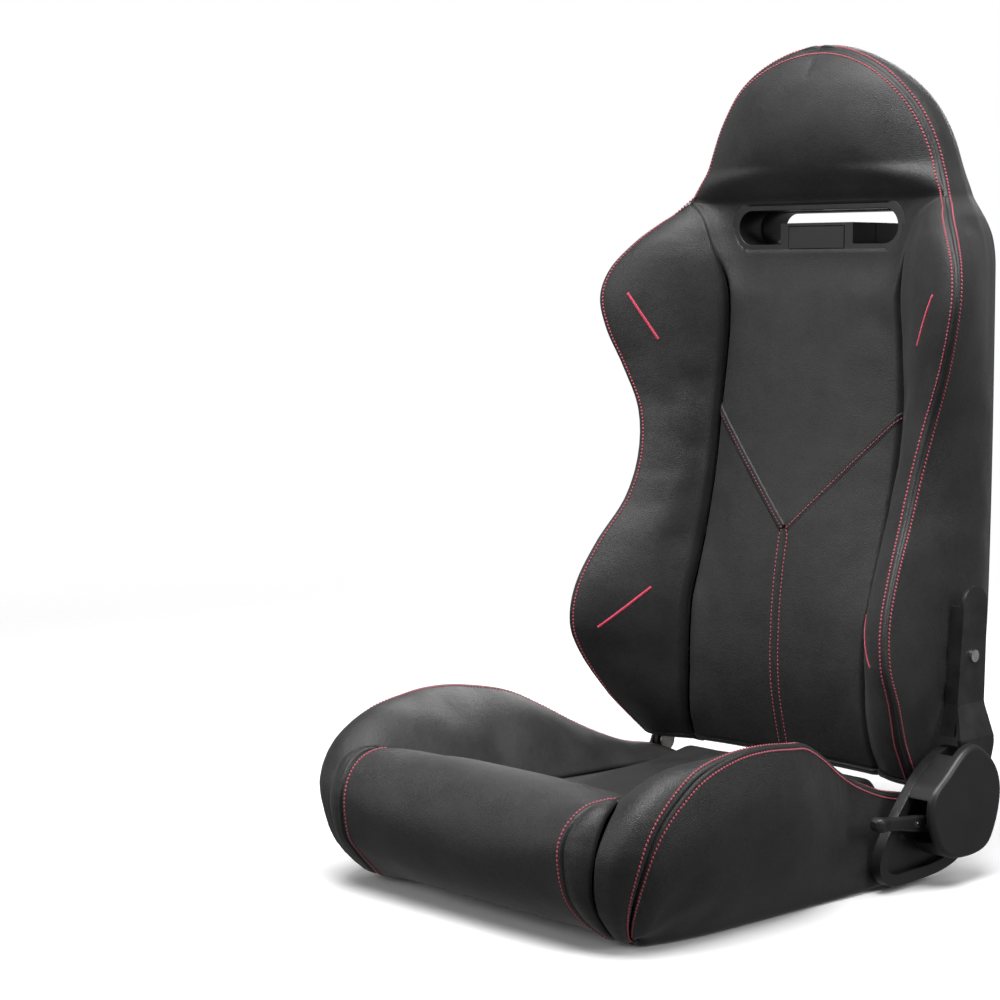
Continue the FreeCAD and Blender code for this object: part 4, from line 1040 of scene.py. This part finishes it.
def gusset(sewn):
    """Crescent panel between the roll's end seam and the bolster's front crease."""
    crease = route(GUSSET_CREASE, 1.0)
    count = round(lengths(sewn)[-1] / STEP) + 1
    a = resample(sewn, np.linspace(0, lengths(sewn)[-1], count))
    b = resample(crease, np.linspace(0, lengths(crease)[-1], count))
    size = np.linalg.norm(b - a, axis=1)
    core = (170.0, -180.0, 80.0)
    rows = []
    for start, stop, length in zip(a, b, size):
        out = np.array([0.35, -1.0, 0.0]) if start[2] < 110 else np.array([0.3, -0.6, 0.7])
        out = out / np.linalg.norm(out)
        spots = columns(max(length, 0.05), size.max())
        full = 5.0 * min(1.0, length / 28.0)
        rows.append(row_between(start, stop, spots, lambda s: full * np.sin(math.pi * s), out))
    grid = np.array(rows)
    grid = pucker(grid, 0, core, 0.4, 13.0, 18.0)
    grid = tuck(grid, sewn, core)
    grid = tuck(grid, crease, core, 2.6, 1.6, 0.0)
    grid[..., 2] = np.maximum(grid[..., 2], LOWEST)
    return grid


def seat_pad():
    """Flat insert between the bolsters, turned down at the rear."""
    profile = route([(0.0, y, z) for y, z in PAD_PROFILE], STEP)
    spots = columns(PAD_HALF, PAD_HALF)
    rows = []
    for _, y, z in profile:
        x = PAD_HALF - spots
        crown = 3.0 * (1 - (x / PAD_HALF) ** 2) * smoothstep((250 - y) / 60)
        rows.append(np.column_stack([x, np.full(len(x), y), z + crown]))
    half = np.array(rows)
    half[:, -1, 0] = 0.0
    grid = np.concatenate([half, (half * FLIP)[:, -2::-1]], axis=1)
    core = (0.0, 60.0, 40.0)
    grid = inflate(grid, core, 4.0)
    for side in (1.0, FLIP):
        grid = tuck(grid, grid[:, 0] * (FLIP if side is not FLIP else 1.0) * side, core, 0.0, 1.0, 0.0)
    d = PAD_HALF - np.abs(grid[..., 0])
    grid[..., 2] -= 7.0 * np.exp(-((d / 4.5) ** 2))
    return grid


def rear_end(top, side):
    """Rear face of a cushion bolster below its last top row."""
    hem = side[-1]
    inner = top[-1][::-1]
    keep = [i for i in range(len(hem)) if hem[i][2] > FOAM_Z * 0.1 and hem[i][0] > 205.0]
    outer = hem[keep]
    outline = np.concatenate([inner, outer])
    foot = outline.copy()
    foot[:, 2] = np.minimum(foot[:, 2], FOAM_Z - 28.0 * smoothstep((foot[:, 0] - 185.0) / 20.0))
    share = np.concatenate([[0.0, 0.03, 0.08], np.linspace(0.16, 1.0, 14)])
    grid = outline[:, None] + (foot - outline)[:, None] * share[None, :, None]
    grid[..., 1] += 3.0 * np.sin(math.pi * share)[None]
    return grid


def foam_base():
    """Underside of the moulded foam, seen between the rails."""
    x = np.linspace(-198.0, 198.0, 67)
    y = np.linspace(-184.0, 246.0, 72)
    gx, gy = np.meshgrid(x, y)
    wave = 0.9 * np.sin(gx / 21.0) * np.sin(gy / 17.0) + 0.5 * np.sin(gx / 7.3 + gy / 9.1)
    low = np.stack([gx, gy, FOAM_Z + 1.6 + wave], axis=-1)
    high = np.stack([gx, gy, np.full_like(gx, FOAM_Z + 18.0)], axis=-1)
    walls = []
    for side in (np.s_[0], np.s_[-1]):
        walls.append(np.stack([low[side], high[side]]))
        walls.append(np.stack([low[:, side], high[:, side]]))
    return [low, high, *walls]


def build_cushion():
    top = bolster_top()
    side = cushion_side()
    roll, sewn = roll_panel()
    wedge = gusset(sewn)
    pad = seat_pad()
    rear = rear_end(top, side)
    body = "seat_base"
    cover("cushion_roll_cover", [roll], ROLL_CORE, LEATHER, body, ("cushion_front_roll",))
    cover("cushion_insert_cover", [pad], (0.0, 60.0, 40.0), LEATHER, body, ("cushion_center_pad",))
    for name, mirror in (("left", 1.0), ("right", FLIP)):
        cover(f"cushion_bolster_cover_{name}", [top * mirror], np.array((150.0, -20.0, 20.0)) * mirror, LEATHER,
              body, (f"cushion_bolster_{name}",))
        cover(f"cushion_side_cover_{name}", [side * mirror], np.array((120.0, 0.0, 60.0)) * mirror, LEATHER,
              body)
        cover(f"cushion_gusset_{name}", [wedge * mirror], np.array((170.0, -180.0, 80.0)) * mirror, LEATHER,
              body, thickness=2.0)
        cover(f"cushion_rear_cover_{name}", [rear * mirror], np.array((180.0, 0.0, 60.0)) * mirror, LEATHER,
              body)
    points, faces = weld(foam_base())
    foam = mesh_object("cushion_foam_underside", points, faces, FOAM)
    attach(foam, body)

    rows = []
    for grid, core in ((top, (150.0, -20.0, 20.0)), (side, (120.0, 0.0, 60.0)), (roll, ROLL_CORE),
                       (wedge, (170.0, -180.0, 80.0))):
        path, out = grid[:, ROW_COLUMN], normals(grid, core)[:, ROW_COLUMN]
        if grid is roll:
            count = len(path)
            first = round(count * SEWN_FROM / (len(ROLL_END) - 1))
            d = np.array([np.linalg.norm(sewn - p, axis=1).min() for p in path])
            near = d < ROW_OFFSET + 1.5
            path, out = path[near], out[near]
        if grid is wedge:
            continue
        rows += [(path, out), (path * FLIP, out * FLIP)]
    thread_object("cushion_seam_stitches", rows, THREAD, body)


# ---------------------------------------------------------------- stage
def area_light(name, place, target, size, power):
    data = bpy.data.lights.new(name, "AREA")
    data.shape = "RECTANGLE"
    data.size, data.size_y = size
    data.energy = power
    lamp = bpy.data.objects.new(name, data)
    lamp.location = place
    aim = Vector(target) - Vector(place)
    lamp.rotation_euler = aim.to_track_quat("-Z", "Y").to_euler()
    bpy.context.scene.collection.objects.link(lamp)


def studio_world():
    """White backdrop for the camera, with dim even light for everything else."""
    world = bpy.data.worlds.new("studio")
    bpy.context.scene.world = world
    world.use_nodes = True
    tree = world.node_tree
    fill = tree.nodes["Background"]
    fill.inputs[0].default_value = (1.0, 1.0, 1.0, 1.0)
    fill.inputs[1].default_value = 0.22
    backdrop = tree.nodes.new("ShaderNodeBackground")
    backdrop.inputs[0].default_value = (1.0, 1.0, 1.0, 1.0)
    seen = tree.nodes.new("ShaderNodeLightPath").outputs["Is Camera Ray"]
    mix = tree.nodes.new("ShaderNodeMixShader")
    tree.links.new(seen, mix.inputs[0])
    tree.links.new(fill.outputs[0], mix.inputs[1])
    tree.links.new(backdrop.outputs[0], mix.inputs[2])
    tree.links.new(mix.outputs[0], tree.nodes["World Output"].inputs[0])


def studio_floor():
    """Pale round floor that fades out towards its rim."""
    reach, clear_from, clear_to, sides = 3200.0, 1.1, 2.9, 96
    turns = [2 * math.pi * i / sides for i in range(sides)]
    rim = [(reach * math.cos(a), reach * math.sin(a), -0.5) for a in turns]
    material, shader, place, add = nodes_of("floor_paint", Roughness=0.75, Specular_IOR_Level=0.2)
    tint = noise(add, place, 3.0)
    link(material, ramp(add, tint, ((0.3, (0.87, 0.87, 0.87)), (0.7, (0.9, 0.9, 0.9)))),
         shader.inputs["Base Color"])
    far = add("ShaderNodeVectorMath", {0: place}, operation="LENGTH").outputs["Value"]
    solid = add("ShaderNodeMapRange", {"Value": far, "From Min": clear_from, "From Max": clear_to,
                                       "To Min": 1.0, "To Max": 0.0}, interpolation_type="SMOOTHSTEP")
    link(material, solid.outputs[0], shader.inputs["Alpha"])
    floor = mesh_object("floor", rim, [list(range(sides))], material)
    floor.visible_diffuse = False
    floor.visible_glossy = False


def build_stage():
    """Floor, backdrop, softboxes and the camera."""
    studio_world()
    studio_floor()
    middle = (0.0, 0.05, 0.45)
    area_light("softbox_top", (0.3, -0.5, 2.7), middle, (2.4, 1.6), 125.0)
    area_light("softbox_front", (-1.3, -2.8, 1.5), middle, (1.0, 1.8), 30.0)
    area_light("softbox_right", (2.7, 0.5, 1.7), middle, (1.0, 1.8), 32.0)
    area_light("softbox_rear", (-1.6, 2.6, 1.9), middle, (1.6, 1.4), 45.0)

    data = bpy.data.cameras.new("camera")
    data.lens, data.sensor_width = 86.47, 36.0
    data.clip_start, data.clip_end = 0.1, 60.0
    camera = bpy.data.objects.new("camera", data)
    camera.location = (1.8624, -1.940, 0.679)
    turn, dip = math.radians(47.08), math.radians(5.3)
    look = Vector((-math.sin(turn) * math.cos(dip), math.cos(turn) * math.cos(dip), -math.sin(dip)))
    camera.rotation_euler = look.to_track_quat("-Z", "Y").to_euler()
    bpy.context.scene.collection.objects.link(camera)
    bpy.context.scene.camera = camera
    bpy.context.scene.view_settings.view_transform = "Standard"


dress_frame()
build_backrest()
build_cushion()
build_stage()
